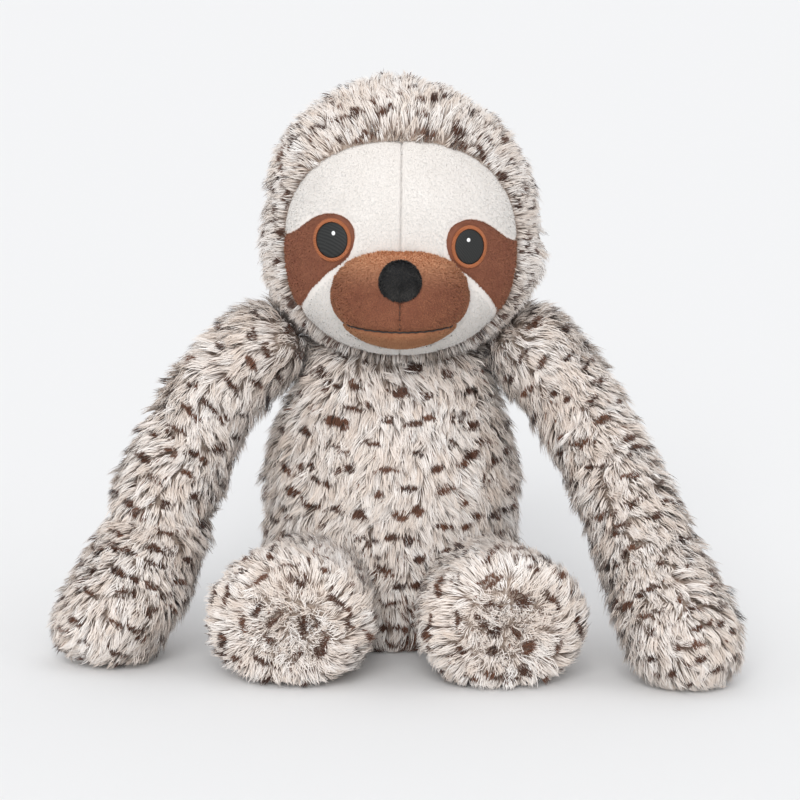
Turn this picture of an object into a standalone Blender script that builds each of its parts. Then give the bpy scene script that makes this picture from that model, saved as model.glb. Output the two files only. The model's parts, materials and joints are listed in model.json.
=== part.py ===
"""A seated plush sloth: stuffed fur-fabric torso, head, arms and legs, each a sewn cover
round its own filling, with a short-pile face, sewn eye patches, a domed muzzle and a nose.

Metres, +Z up. The origin is the middle of the seat, on the surface that the toy sits on.
The toy faces -Y, and its own left arm is at +X.
"""

import math

import bmesh
import bpy
import numpy as np
from mathutils import Vector

# Cloth, clearances and cuts
FUR_CLOTH = 0.0025            # long-pile fabric with its backing
FACE_CLOTH = 0.0018           # short-pile fabric
SEAM_GAP = 0.0003             # between two pieces that touch
FLOOR_CUT = 0.0005            # how deep a round form is pressed flat where it rests
OVERRUN = 0.05                # how far a cutter runs past what it cuts
FLOOR_REACH = 0.4             # half width of the floor's cutter
SAME_PLACE = 0.000003         # points closer than this are one point
SWIVEL_SIDES = 20             # facets round a joint ball
SHARP_ANGLE = 50.0            # degrees; faces that meet more sharply are shaded apart

# Torso
TORSO_HEIGHT = 0.150          # seat to neck rim
TORSO_HALF_WIDTH = 0.061
TORSO_FRONT_DEPTH = 0.050
TORSO_BACK_DEPTH = 0.046
TORSO_SIDES = 24
# Rows from the seat up: height share, width share, depth share
TORSO_SHARES = (
    (0.000, 0.70, 0.70),
    (0.035, 0.83, 0.83),
    (0.110, 0.94, 0.94),
    (0.230, 1.00, 1.00),
    (0.400, 1.00, 1.00),
    (0.560, 0.98, 0.96),
    (0.700, 0.90, 0.90),
    (0.820, 0.785, 0.82),
    (0.900, 0.74, 0.75),
    (0.960, 0.70, 0.69),
    (1.000, 0.58, 0.60),
)

# Pellet bag in the seat
PELLET_BAG_HALF_WIDTH = 0.031
PELLET_BAG_HALF_DEPTH = 0.023
PELLET_BAG_HEIGHT = 0.026
PELLET_BAG_BACK_SHARE = 0.22  # how far behind the middle it lies, of the back depth
PELLET_BAG_SIDES = 16
# Rows from the underside up: height share, girth share
PELLET_BAG_SHARES = (
    (0.00, 0.86),
    (0.14, 0.97),
    (0.36, 1.00),
    (0.60, 0.93),
    (0.82, 0.72),
    (0.95, 0.40),
    (1.00, 0.12),
)

# Neck
NECK_RADIUS = 0.026
NECK_RISE_SHARE = 0.10        # height of the neck's centre over the rim, of its radius
NOD_ROOM_RADIUS = 0.062       # hollow under the head that lets it nod over the shoulders
NOD_ROOM_DROP = 0.046         # centre of that hollow below the neck's centre

# Head
HEAD_HEIGHT = 0.132
HEAD_HALF_WIDTH = 0.066
HEAD_FRONT_DEPTH = 0.059
HEAD_BACK_DEPTH = 0.056
HEAD_FORWARD = 0.010          # how far the head sits in front of the torso's middle
HEAD_DROP = 0.010             # how far the chin hangs below the neck's centre
HEAD_SIDES = 28
# Rows from the chin up: height share, width share, front share, back share
HEAD_SHARES = (
    (0.000, 0.30, 0.42, 0.20),
    (0.050, 0.47, 0.68, 0.38),
    (0.115, 0.61, 0.84, 0.55),
    (0.190, 0.74, 0.92, 0.70),
    (0.260, 0.86, 0.965, 0.82),
    (0.345, 0.955, 0.99, 0.92),
    (0.440, 0.995, 1.00, 0.98),
    (0.540, 1.000, 0.99, 1.00),
    (0.640, 0.975, 0.95, 0.98),
    (0.735, 0.905, 0.87, 0.91),
    (0.820, 0.795, 0.755, 0.80),
    (0.895, 0.640, 0.60, 0.64),
    (0.955, 0.430, 0.40, 0.43),
    (0.990, 0.210, 0.19, 0.21),
    (1.000, 0.000, 0.00, 0.00),
)

# Face, seen from the front: half sizes and how high each middle is, of the head's height
FACE_HALF_WIDTH = 0.057
FACE_HALF_HEIGHT = 0.0505
FACE_HEIGHT_SHARE = 0.467
FACE_CORNER_SHARE = 0.25      # 0 is an ellipse, more is squarer
FACE_POINTS = 36
EYE_APART = 0.066             # centre to centre
EYE_HEIGHT_SHARE = 0.487
LEFT_EYE_DROP = 0.0029        # the left eye is stitched a little lower than the right
EYE_HALF_WIDTH = 0.0080
EYE_HALF_HEIGHT = 0.0088
EYE_RING_WIDTH = 0.0016
STITCH_RELIEF = 0.0004        # how far embroidery stands over the cloth
EYE_POINTS = 20
PATCH_HALF_WIDTH = 0.0165
PATCH_HALF_HEIGHT = 0.0245
PATCH_DROP = 0.0144           # patch middle below the eye's middle
LEFT_PATCH_DROP = 0.0136
# Outline of the eye patch, from its middle: out share, up share
PATCH_SHARES = (
    (-1.06, 0.52),
    (-1.09, 0.70),
    (-1.00, 0.90),
    (-0.78, 1.04),
    (-0.42, 1.10),
    (-0.02, 1.04),
    (0.32, 0.89),
    (0.66, 0.69),
    (1.30, 0.30),
    (1.40, -1.00),
    (0.92, -1.16),
    (0.44, -0.76),
    (0.21, -0.49),
    (-0.06, -0.27),
    (-0.35, -0.06),
    (-0.64, 0.09),
    (-0.92, 0.29),
)
PATCH_OUT_SHARE = 0.38        # patch middle outside the eye's middle, of its half width

# Muzzle and nose
MUZZLE_HALF_WIDTH = 0.033
MUZZLE_HALF_HEIGHT = 0.0255
MUZZLE_STAND_OUT = 0.026      # how far the dome stands in front of the face
MUZZLE_SINK = 0.010           # how far its middle lies behind the face
MUZZLE_HEIGHT_SHARE = 0.275
MUZZLE_SEAT_SHARE = 0.80      # size of the hole in the face behind it, of the dome's size
MUZZLE_SIDES = 28
MUZZLE_RINGS = 12
MOUTH_DROP_SHARE = 0.52       # mouth line below the dome's middle, of its half height
MOUTH_SMILE = 0.0010          # how much higher the corners are than the middle
MOUTH_HALF_WIDTH_SHARE = 0.86
MOUTH_THREAD_RADIUS = 0.0009
MOUTH_OVERRUN = 0.005         # how far the parting of the two panels runs past the dome
MOUTH_POINTS = 17
THREAD_SIDES_RESOLUTION = 2
NOSE_HALF_WIDTH = 0.0105
NOSE_HALF_HEIGHT = 0.0105
NOSE_THICKNESS = 0.0065       # how far it stands out of the muzzle
NOSE_UP_SHARE = 0.445         # above the dome's middle, of its half height
NOSE_SIDES = 20
NOSE_RINGS = 8

# Limbs
LIMB_OPENING_SHARE = 0.45     # hole at the root that the closing stitches draw shut

# Arms
ARM_ROOT_RADIUS = 0.022
ARM_MIDDLE_RADIUS = 0.0215
PAW_RADIUS = 0.0265
ARM_SIDES = 16
SHOULDER_HEIGHT_SHARE = 0.965  # of the torso's height
SHOULDER_OUT_SHARE = 0.90      # ball's centre outside the flank, of its radius
SHOULDER_FORWARD = 0.004
LEFT_PAW_OUT = 0.070
LEFT_PAW_FORWARD = 0.094
RIGHT_PAW_OUT = 0.076
RIGHT_PAW_FORWARD = 0.062
LEFT_ELBOW_OUT_SHARE = 0.50    # of the paw's way out
RIGHT_ELBOW_OUT_SHARE = 0.62
ELBOW_DOWN_SHARE = 0.30        # of the paw's way down
ELBOW_FORWARD_SHARE = 0.18     # of the paw's way forward
ARM_STATIONS = 8
ARM_TIP_RINGS = 4
ARM_ROOT_RINGS = 4
ARM_FILLING_START_SHARE = 0.50  # past the shoulder's centre, of the root radius

# Legs and feet
LEG_ROOT_RADIUS = 0.0255
FOOT_HALF_WIDTH = 0.0380
FOOT_HALF_HEIGHT = 0.0300
LEG_LENGTH = 0.070             # hip centre to sole
LEG_SPLAY = 11.0               # degrees outwards
LEG_SIDES = 20
HIP_OUT_SHARE = 0.63           # of the torso's half width
HIP_FORWARD_SHARE = 0.92       # of the torso's front depth
HIP_ROOM = 0.0004              # room round the hip ball for the leg to lift
LEG_ROOT_RINGS = 4
# Rows from the hip to the sole: length share, girth share from root to foot
LEG_SHARES = (
    (0.00, 0.00),
    (0.20, 0.22),
    (0.42, 0.62),
    (0.62, 0.94),
    (0.78, 1.00),
)
# The foot's round edge and the sole: length share, girth share of the foot
FOOT_EDGE_SHARES = (
    (0.88, 0.955),
    (0.945, 0.860),
    (0.980, 0.740),
)
SOLE_SHARES = (
    (0.995, 0.500),
    (1.000, 0.250),
    (1.000, 0.000),
)


# Colours: base colour, roughness
MATERIALS = {
    "spotted_fur": ((0.78, 0.71, 0.64), 0.95),
    "face_velboa": ((0.88, 0.85, 0.80), 0.90),
    "brown_velboa": ((0.26, 0.09, 0.045), 0.88),
    "black_flock": ((0.018, 0.019, 0.022), 0.92),
    "black_thread": ((0.022, 0.020, 0.020), 0.60),
    "rust_thread": ((0.50, 0.18, 0.06), 0.55),
    "stuffing": ((0.86, 0.86, 0.84), 0.98),
    "pellet_cloth": ((0.72, 0.70, 0.66), 0.90),
}


# Scene start and materials

def clear_scene():
    """Remove every object that the scene holds."""
    for obj in list(bpy.data.objects):
        bpy.data.objects.remove(obj, do_unlink=True)


def material(name):
    """A plain Principled material with the fabric's own colour."""
    found = bpy.data.materials.get(name)
    if found:
        return found
    colour, roughness = MATERIALS[name]
    made = bpy.data.materials.new(name)
    made.use_nodes = True
    shader = made.node_tree.nodes["Principled BSDF"]
    shader.inputs["Base Color"].default_value = (*colour, 1.0)
    shader.inputs["Roughness"].default_value = roughness
    shader.inputs["Metallic"].default_value = 0.0
    return made


# Mesh helpers

def object_from_bmesh(bm, name, material_name, origin=None, smooth=True):
    """Turn a bmesh into a named object whose origin is at the given place."""
    bmesh.ops.remove_doubles(bm, verts=bm.verts, dist=SAME_PLACE)
    bmesh.ops.recalc_face_normals(bm, faces=bm.faces)
    place = Vector(origin) if origin is not None else Vector((0, 0, 0))
    bmesh.ops.translate(bm, verts=bm.verts, vec=-place)
    mesh = bpy.data.meshes.new(name)
    bm.to_mesh(mesh)
    bm.free()
    if smooth:
        mesh.shade_smooth()
        mesh.set_sharp_from_angle(angle=math.radians(SHARP_ANGLE))
    obj = bpy.data.objects.new(name, mesh)
    obj.location = place
    bpy.context.scene.collection.objects.link(obj)
    if material_name:
        mesh.materials.append(material(material_name))
    return obj


def cut(obj, cutter, operation="DIFFERENCE"):
    """Cut an object by another one with an exact Boolean, and hide the cutter."""
    cutter.hide_render = True
    cutter.hide_set(True)
    cutter.display_type = "WIRE"
    step = obj.modifiers.new(f"{operation.lower()}_{cutter.name}", "BOOLEAN")
    step.operation = operation
    step.solver = "EXACT"
    step.object = cutter


def ring_normals(rings):
    """Outward normal at each point of a grid of closed rings, as unit vectors."""
    grid = np.asarray(rings, dtype=float)
    around = np.roll(grid, -1, axis=1)
    normals = np.zeros_like(grid)
    first = grid[:-1]
    second = around[:-1]
    third = around[1:]
    fourth = grid[1:]
    faces = np.cross(third - first, fourth - second)
    normals[:-1] += faces
    normals[1:] += faces
    normals[:-1] += np.roll(faces, 1, axis=1)
    normals[1:] += np.roll(faces, 1, axis=1)
    for row in range(len(grid)):
        spread = np.ptp(grid[row], axis=0).max()
        if spread < SAME_PLACE:
            normals[row] = normals[row].sum(axis=0)
    lengths = np.linalg.norm(normals, axis=2, keepdims=True)
    normals = normals / np.maximum(lengths, np.finfo(float).tiny)
    middle = grid.mean(axis=(0, 1))
    if np.sum((grid - middle) * normals) < 0:
        normals = -normals
    return normals


def add_patch(bm, grid, closed, flip=False):
    """Add a grid of points as quads, closed round its columns or open."""
    rows, columns = grid.shape[:2]
    points = [[bm.verts.new(grid[i, j]) for j in range(columns)] for i in range(rows)]
    last = columns if closed else columns - 1
    for i in range(rows - 1):
        for j in range(last):
            k = (j + 1) % columns
            loop = (points[i][j], points[i][k], points[i + 1][k], points[i + 1][j])
            bm.faces.new(loop[::-1] if flip else loop)
    return points


def bridge(bm, outer, inner, closed=False):
    """Wall between two matching rows of points."""
    count = len(outer)
    for j in range(count if closed else count - 1):
        k = (j + 1) % count
        bm.faces.new((outer[j], outer[k], inner[k], inner[j]))


def sewn_panel(name, rings, cloth, columns, rows, material_name, relief=0.0, origin=None):
    """One fabric panel: a range of columns and rows of the rings, as thick as its cloth.

    Its long edges, and each end row that another panel continues, stop half a seam gap
    short of their neighbour. A whole turn of columns makes a cover with no side seam."""
    grid = np.asarray(rings, dtype=float)
    normals = ring_normals(grid)
    sides = grid.shape[1]
    first, last = columns
    top, bottom = rows
    closed = last - first == sides
    picked = [j % sides for j in range(first, last + (0 if closed else 1))]
    outer = grid[top:bottom + 1][:, picked].copy()
    inward = normals[top:bottom + 1][:, picked]
    half = SEAM_GAP / 2
    if not closed:
        part_edges(outer, half)
    if top > 0:
        outer[0] += toward(outer[0], outer[1]) * half
    if bottom < len(grid) - 1:
        outer[-1] += toward(outer[-1], outer[-2]) * half
    outer = outer + inward * relief
    inner = outer - inward * (cloth + relief)
    bm = bmesh.new()
    out = add_patch(bm, outer, closed)
    inn = add_patch(bm, inner, closed, flip=True)
    for row in (0, -1):
        if np.ptp(outer[row], axis=0).max() > SEAM_GAP:
            bridge(bm, out[row], inn[row], closed)
    if not closed:
        bridge(bm, [row[0] for row in out], [row[0] for row in inn])
        bridge(bm, [row[-1] for row in out], [row[-1] for row in inn])
    return object_from_bmesh(bm, name, material_name, origin)


def toward(start, end):
    """Unit steps from each point of one row to the next row's, or zero where they meet."""
    step = end - start
    length = np.linalg.norm(step, axis=-1, keepdims=True)
    return np.where(length > SAME_PLACE, step / np.maximum(length, SAME_PLACE), 0)


def part_edges(outer, half):
    """Move the first and last column half a seam gap into the panel, poles included."""
    for edge, beside in ((0, 1), (-1, -2)):
        outer[:, edge] += toward(outer[:, edge], outer[:, beside]) * half
    count = len(outer)
    for row, previous in ((0, 1), (count - 1, count - 2)):
        if np.ptp(outer[row], axis=0).max() < SAME_PLACE:
            first = toward(outer[previous, 0], outer[previous, 1])
            last = toward(outer[previous, -1], outer[previous, -2])
            outer[row] += (first + last) / 2 * half


def solid_form(name, rings, material_name, inset=0.0, origin=None):
    """A closed solid inside the rings, its surface the inset below theirs.

    A filling, inset from its cover, has half as many corners round it as the cover."""
    grid = np.asarray(rings, dtype=float)
    grid = grid - ring_normals(grid) * inset
    if inset > 0:
        grid = grid[:, ::2]
    bm = bmesh.new()
    points = add_patch(bm, grid, closed=True)
    for row in (points[0], points[-1]):
        middle = bm.verts.new(sum((v.co for v in row), Vector()) / len(row))
        for j in range(len(row)):
            bm.faces.new((row[j], row[(j + 1) % len(row)], middle))
    return object_from_bmesh(bm, name, material_name, origin)


def ball(name, centre, radius, material_name=None, squeeze=(1, 1, 1)):
    """A faceted ball whose corners lie on the given radius."""
    bm = bmesh.new()
    bmesh.ops.create_uvsphere(
        bm, u_segments=SWIVEL_SIDES, v_segments=SWIVEL_SIDES // 2, radius=radius
    )
    bmesh.ops.scale(bm, vec=squeeze, verts=bm.verts)
    bmesh.ops.translate(bm, vec=centre, verts=bm.verts)
    return object_from_bmesh(bm, name, material_name, centre)


def socket_radius(radius):
    """Radius of a faceted hollow in which a faceted ball of this radius turns freely."""
    flat = math.cos(math.pi / SWIVEL_SIDES)
    return radius / flat ** 2 + SEAM_GAP


def prism(name, outline, front, back):
    """A cutter: an outline of (x, z) points, extruded along Y."""
    bm = bmesh.new()
    near = [bm.verts.new((x, front, z)) for x, z in outline]
    bm.faces.new(near)
    moved = bmesh.ops.extrude_face_region(bm, geom=list(bm.faces))
    fresh = [item for item in moved["geom"] if isinstance(item, bmesh.types.BMVert)]
    bmesh.ops.translate(bm, vec=(0, back - front, 0), verts=fresh)
    return object_from_bmesh(bm, name, None, smooth=False)


def block(name, low, high):
    """A cutter: a box between two corners."""
    bm = bmesh.new()
    bmesh.ops.create_cube(bm, size=1)
    size = Vector(high) - Vector(low)
    bmesh.ops.scale(bm, vec=size, verts=bm.verts)
    bmesh.ops.translate(bm, vec=(Vector(low) + Vector(high)) / 2, verts=bm.verts)
    return object_from_bmesh(bm, name, None, smooth=False)


def oval(middle_x, middle_z, half_width, half_height, count):
    """Points of an upright oval, counter-clockwise seen from the front."""
    turns = [2 * math.pi * i / count for i in range(count)]
    return [
        (middle_x + half_width * math.cos(a), middle_z + half_height * math.sin(a))
        for a in turns
    ]


def grown(outline, width):
    """The outline moved outwards by a width, its corners mitred."""
    points = np.asarray(outline, dtype=float)
    after = np.roll(points, -1, axis=0)
    area = np.sum(points[:, 0] * after[:, 1] - after[:, 0] * points[:, 1])
    run = after - points
    run /= np.linalg.norm(run, axis=1, keepdims=True)
    out = np.column_stack((run[:, 1], -run[:, 0])) * np.sign(area)
    before = np.roll(out, 1, axis=0)
    mitre = (out + before) / (1 + np.sum(out * before, axis=1, keepdims=True))
    return [tuple(point) for point in points + mitre * width]


# Places that several pieces share

NECK = Vector((0, -SHOULDER_FORWARD, TORSO_HEIGHT + NECK_RADIUS * NECK_RISE_SHARE))
HEAD_BASE = NECK.z - HEAD_DROP
HEAD_MIDDLE_Y = -HEAD_FORWARD


def share_at(rows, height_share, column):
    """Value of one column of a table of shares at a height share between its rows."""
    heights = [row[0] for row in rows]
    return float(np.interp(height_share, heights, [row[column] for row in rows]))


def shoulder(side):
    """Centre of the shoulder's ball on the given side, -1 or +1."""
    flank = TORSO_HALF_WIDTH * share_at(TORSO_SHARES, SHOULDER_HEIGHT_SHARE, 1)
    out = flank + ARM_ROOT_RADIUS * SHOULDER_OUT_SHARE
    return Vector((side * out, -SHOULDER_FORWARD, TORSO_HEIGHT * SHOULDER_HEIGHT_SHARE))


def hip(side):
    """Centre of the hip's ball on the given side."""
    return Vector((
        side * TORSO_HALF_WIDTH * HIP_OUT_SHARE,
        -TORSO_FRONT_DEPTH * HIP_FORWARD_SHARE,
        FOOT_HALF_HEIGHT - FLOOR_CUT,
    ))


def egg_ring(half_width, front, back, middle_y, height, sides):
    """One level ring whose front and back half have their own depth."""
    ring = []
    for j in range(sides):
        turn = 2 * math.pi * j / sides
        depth = front if math.sin(turn) < 0 else back
        ring.append((
            half_width * math.cos(turn),
            middle_y + depth * math.sin(turn),
            height,
        ))
    return ring


def torso_rings():
    """Level rings of the torso's outside, from the seat to the neck rim."""
    return [
        egg_ring(
            TORSO_HALF_WIDTH * width,
            TORSO_FRONT_DEPTH * depth,
            TORSO_BACK_DEPTH * depth,
            0,
            TORSO_HEIGHT * height,
            TORSO_SIDES,
        )
        for height, width, depth in TORSO_SHARES
    ]


def head_rings():
    """Level rings of the head's outside, from the chin to the crown."""
    return [
        egg_ring(
            HEAD_HALF_WIDTH * width,
            HEAD_FRONT_DEPTH * front,
            HEAD_BACK_DEPTH * back,
            HEAD_MIDDLE_Y,
            HEAD_BASE + HEAD_HEIGHT * height,
            HEAD_SIDES,
        )
        for height, width, front, back in HEAD_SHARES
    ]


# Rings round a bent spine

def tilted_ring(centre, along, radius_front, radius_side, sides):
    """A ring square to the spine: column 0 faces forwards, then it runs round."""
    along = Vector(along).normalized()
    forward = Vector((0, -1, 0))
    forward = (forward - along * forward.dot(along)).normalized()
    across = along.cross(forward)
    return [
        tuple(
            Vector(centre)
            + forward * radius_front * math.cos(2 * math.pi * j / sides)
            + across * radius_side * math.sin(2 * math.pi * j / sides)
        )
        for j in range(sides)
    ]


def arm_spine(side):
    """The arm's middle line, as three control points of a quadratic curve."""
    root = shoulder(side)
    paw_out = LEFT_PAW_OUT if side > 0 else RIGHT_PAW_OUT
    paw_forward = LEFT_PAW_FORWARD if side > 0 else RIGHT_PAW_FORWARD
    elbow_out = LEFT_ELBOW_OUT_SHARE if side > 0 else RIGHT_ELBOW_OUT_SHARE
    paw_height = PAW_RADIUS - FLOOR_CUT
    drop = root.z - paw_height
    bend = Vector((
        root.x + side * paw_out * elbow_out,
        root.y - paw_forward * ELBOW_FORWARD_SHARE,
        root.z - drop * ELBOW_DOWN_SHARE,
    ))
    paw = Vector((root.x + side * paw_out, root.y - paw_forward, paw_height))
    return root, bend, paw


def on_curve(points, t):
    """Place and direction on a quadratic curve at t from 0 to 1."""
    a, b, c = points
    place = a * (1 - t) ** 2 + b * 2 * t * (1 - t) + c * t ** 2
    along = (b - a) * 2 * (1 - t) + (c - b) * 2 * t
    return place, along.normalized()


def filling_start(spine):
    """Where on the curve, from 0 to 1, the arm's filling starts past the shoulder."""
    return ARM_ROOT_RADIUS * ARM_FILLING_START_SHARE / (2 * (spine[1] - spine[0]).length)


def arm_rings(side):
    """Rings from the opening at the shoulder to the end of the paw."""
    spine = arm_spine(side)
    rings = []
    root, along = on_curve(spine, 0)
    opening = math.asin(LIMB_OPENING_SHARE)
    for i in range(ARM_ROOT_RINGS):
        angle = opening + (math.pi / 2 - opening) * i / ARM_ROOT_RINGS
        place = root - along * ARM_ROOT_RADIUS * math.cos(angle)
        radius = ARM_ROOT_RADIUS * math.sin(angle)
        rings.append(tilted_ring(place, along, radius, radius, ARM_SIDES))
    start = filling_start(spine)
    stations = [0] + [start + (1 - start) * i / ARM_STATIONS for i in range(ARM_STATIONS + 1)]
    for t in stations:
        place, along = on_curve(spine, t)
        swell = np.interp(
            t,
            (0, 1 / 2, 1),
            (ARM_ROOT_RADIUS, ARM_MIDDLE_RADIUS, PAW_RADIUS),
        )
        rings.append(tilted_ring(place, along, float(swell), float(swell), ARM_SIDES))
    paw, along = on_curve(spine, 1)
    for i in range(1, ARM_TIP_RINGS + 1):
        angle = math.pi / 2 * i / ARM_TIP_RINGS
        place = paw + along * PAW_RADIUS * math.sin(angle)
        radius = PAW_RADIUS * math.cos(angle) if i < ARM_TIP_RINGS else 0
        rings.append(tilted_ring(place, along, radius, radius, ARM_SIDES))
    return rings


def leg_axis(side):
    """Direction from the hip to the sole."""
    splay = math.radians(LEG_SPLAY)
    return Vector((side * math.sin(splay), -math.cos(splay), 0))


def leg_ring(side, length_share, half_width, half_height):
    """A ring square to the leg: column 0 is at the top."""
    along = leg_axis(side)
    across = Vector((0, 0, 1)).cross(along)
    centre = hip(side) + along * LEG_LENGTH * length_share
    ring = []
    for j in range(LEG_SIDES):
        turn = 2 * math.pi * j / LEG_SIDES
        ring.append(tuple(
            centre
            + Vector((0, 0, 1)) * half_height * math.cos(turn)
            + across * half_width * math.sin(turn)
        ))
    return ring


def leg_rings(side):
    """Rings from the opening at the hip to the rim of the sole."""
    rings = []
    opening = math.asin(LIMB_OPENING_SHARE)
    back_share = LEG_ROOT_RADIUS / LEG_LENGTH
    for i in range(LEG_ROOT_RINGS):
        angle = opening + (math.pi / 2 - opening) * i / LEG_ROOT_RINGS
        radius = LEG_ROOT_RADIUS * math.sin(angle)
        rings.append(leg_ring(side, -back_share * math.cos(angle), radius, radius))
    for length_share, girth_share in LEG_SHARES:
        width = LEG_ROOT_RADIUS + (FOOT_HALF_WIDTH - LEG_ROOT_RADIUS) * girth_share
        height = LEG_ROOT_RADIUS + (FOOT_HALF_HEIGHT - LEG_ROOT_RADIUS) * girth_share
        rings.append(leg_ring(side, length_share, width, height))
    for length_share, girth_share in FOOT_EDGE_SHARES:
        rings.append(leg_ring(
            side, length_share, FOOT_HALF_WIDTH * girth_share, FOOT_HALF_HEIGHT * girth_share
        ))
    return rings


def leg_form(side):
    """All rings of the leg, closed over the sole, and the row where the sole begins."""
    rings = leg_rings(side)
    seam_row = len(rings) - 1
    for length_share, girth_share in SOLE_SHARES:
        rings.append(leg_ring(
            side, length_share, FOOT_HALF_WIDTH * girth_share, FOOT_HALF_HEIGHT * girth_share
        ))
    return rings, seam_row


# Cutters that several pieces share

def shoulder_wad_radius():
    """Radius of the pinch of filling that the arm's root cover turns on."""
    flat = math.cos(math.pi / ARM_SIDES)
    return (ARM_ROOT_RADIUS - FUR_CLOTH) * flat ** 2 - SEAM_GAP


def make_cutters():
    """Hollows for the joint balls, the room under the head, and the floor."""
    cutters = {
        "neck": ball("neck_hollow", NECK, socket_radius(NECK_RADIUS)),
        "nod": ball(
            "nod_room", NECK - Vector((0, 0, NOD_ROOM_DROP)), NOD_ROOM_RADIUS
        ),
        "floor": block(
            "floor_block",
            (-FLOOR_REACH, -FLOOR_REACH, -OVERRUN),
            (FLOOR_REACH, FLOOR_REACH, 0),
        ),
        "seat": block(
            "seat_block",
            (-TORSO_HALF_WIDTH, -TORSO_FRONT_DEPTH, -OVERRUN),
            (TORSO_HALF_WIDTH, TORSO_BACK_DEPTH, FUR_CLOTH + SEAM_GAP),
        ),
    }
    for side, word in ((1, "left"), (-1, "right")):
        cutters[f"{word}_shoulder"] = ball(
            f"{word}_shoulder_hollow", shoulder(side), socket_radius(ARM_ROOT_RADIUS)
        )
        cutters[f"{word}_hip"] = ball(
            f"{word}_hip_hollow", hip(side), socket_radius(LEG_ROOT_RADIUS) + HIP_ROOM
        )
        cutters[f"{word}_wad"] = ball(
            f"{word}_wad_hollow", shoulder(side), socket_radius(shoulder_wad_radius())
        )
    return cutters


# Torso

def make_torso(cutters):
    """Front and back panel, oval seat panel, filling and the pellet bag."""
    rings = torso_rings()
    rows = (0, len(rings) - 1)
    half = TORSO_SIDES // 2
    front = sewn_panel(
        "torso_front_panel", rings, FUR_CLOTH, (half, 2 * half), rows, "spotted_fur"
    )
    back = sewn_panel("torso_back_panel", rings, FUR_CLOTH, (0, half), rows, "spotted_fur")
    filling = solid_form("torso_filling", rings, "stuffing", FUR_CLOTH + SEAM_GAP)
    cut(filling, cutters["seat"])
    bag_hollow = pellet_bag("pellet_bag_hollow", SEAM_GAP, None)
    cut(filling, bag_hollow)
    bag = pellet_bag("pellet_bag", 0, "pellet_cloth")
    for piece in (front, back, filling):
        cut(piece, cutters["neck"])
    for piece in (front, back, filling, bag):
        for word in ("left", "right"):
            cut(piece, cutters[f"{word}_hip"])
    for piece in (front, back, filling):
        for word in ("left", "right"):
            cut(piece, cutters[f"{word}_shoulder"])
    seat_panel()


def seat_panel():
    """The oval base panel that closes the seat, flat on the floor."""
    share = TORSO_SHARES[0][1]
    edge = FUR_CLOTH + SEAM_GAP
    ring = egg_ring(
        TORSO_HALF_WIDTH * share - edge,
        TORSO_FRONT_DEPTH * share - edge,
        TORSO_BACK_DEPTH * share - edge,
        0,
        0,
        TORSO_SIDES,
    )
    bm = bmesh.new()
    low = bm.faces.new([bm.verts.new(point) for point in ring])
    moved = bmesh.ops.extrude_face_region(bm, geom=[low])
    fresh = [item for item in moved["geom"] if isinstance(item, bmesh.types.BMVert)]
    bmesh.ops.translate(bm, vec=(0, 0, FUR_CLOTH), verts=fresh)
    return object_from_bmesh(bm, "seat_panel", "spotted_fur", smooth=False)


def pellet_bag(name, grow, material_name):
    """A low round bag of pellets that weights the seat, with a flat underside."""
    base = FUR_CLOTH + SEAM_GAP
    middle = TORSO_BACK_DEPTH * PELLET_BAG_BACK_SHARE
    rings = []
    for height, girth in PELLET_BAG_SHARES:
        depth = PELLET_BAG_HALF_DEPTH * girth + grow
        lift = PELLET_BAG_HEIGHT * height + grow
        if grow and height == 0:
            lift = -FUR_CLOTH
        rings.append(egg_ring(
            PELLET_BAG_HALF_WIDTH * girth + grow,
            depth,
            depth,
            middle,
            base + SEAM_GAP + lift,
            PELLET_BAG_SIDES,
        ))
    return solid_form(name, rings, material_name)


# Head

def make_head(cutters):
    """Two fur side panels, the filling, and the face pieces set in between."""
    rings = head_rings()
    rows = (0, len(rings) - 1)
    face_edge = through_face("face_edge", face_outline(SEAM_GAP))
    face_hole = through_face("face_hole", face_outline(0), SEAM_GAP)
    seat_hole = through_face("muzzle_seat_hole", muzzle_outline(MUZZLE_SEAT_SHARE), SEAM_GAP)
    filling = solid_form("head_filling", rings, "stuffing", FUR_CLOTH + SEAM_GAP)
    cut(filling, cutters["nod"])
    cut(filling, cutters["neck"])
    for side, word in ((1, "left"), (-1, "right")):
        columns = side_columns(side)
        fur = sewn_panel(
            f"head_{word}_panel", rings, FUR_CLOTH, columns, rows, "spotted_fur"
        )
        cut(fur, face_edge)
        cut(fur, cutters["nod"])
        face = sewn_panel(
            f"face_{word}_panel", rings, FACE_CLOTH, columns, rows, "face_velboa"
        )
        shape = through_face(f"{word}_face_shape", face_outline(0))
        cut(shape, through_face(f"{word}_patch_edge", patch_outline(side, SEAM_GAP), SEAM_GAP))
        cut(shape, seat_hole)
        cut(face, shape, "INTERSECT")
        cut(face, cutters["nod"])
        make_eye(side, word, rings, rows, face_hole)
    make_muzzle(rings)


def side_columns(side):
    """First and last column of the head's rings on one side of its middle seam."""
    quarter = HEAD_SIDES // 4
    return (3 * quarter, 5 * quarter) if side > 0 else (quarter, 3 * quarter)


def through_face(name, outline, longer=0.0):
    """A cutter from in front of the nose to the middle of the head, its ends longer if asked."""
    front = HEAD_MIDDLE_Y - HEAD_FRONT_DEPTH - OVERRUN
    return prism(name, outline, front - longer, HEAD_MIDDLE_Y + longer)


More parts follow.
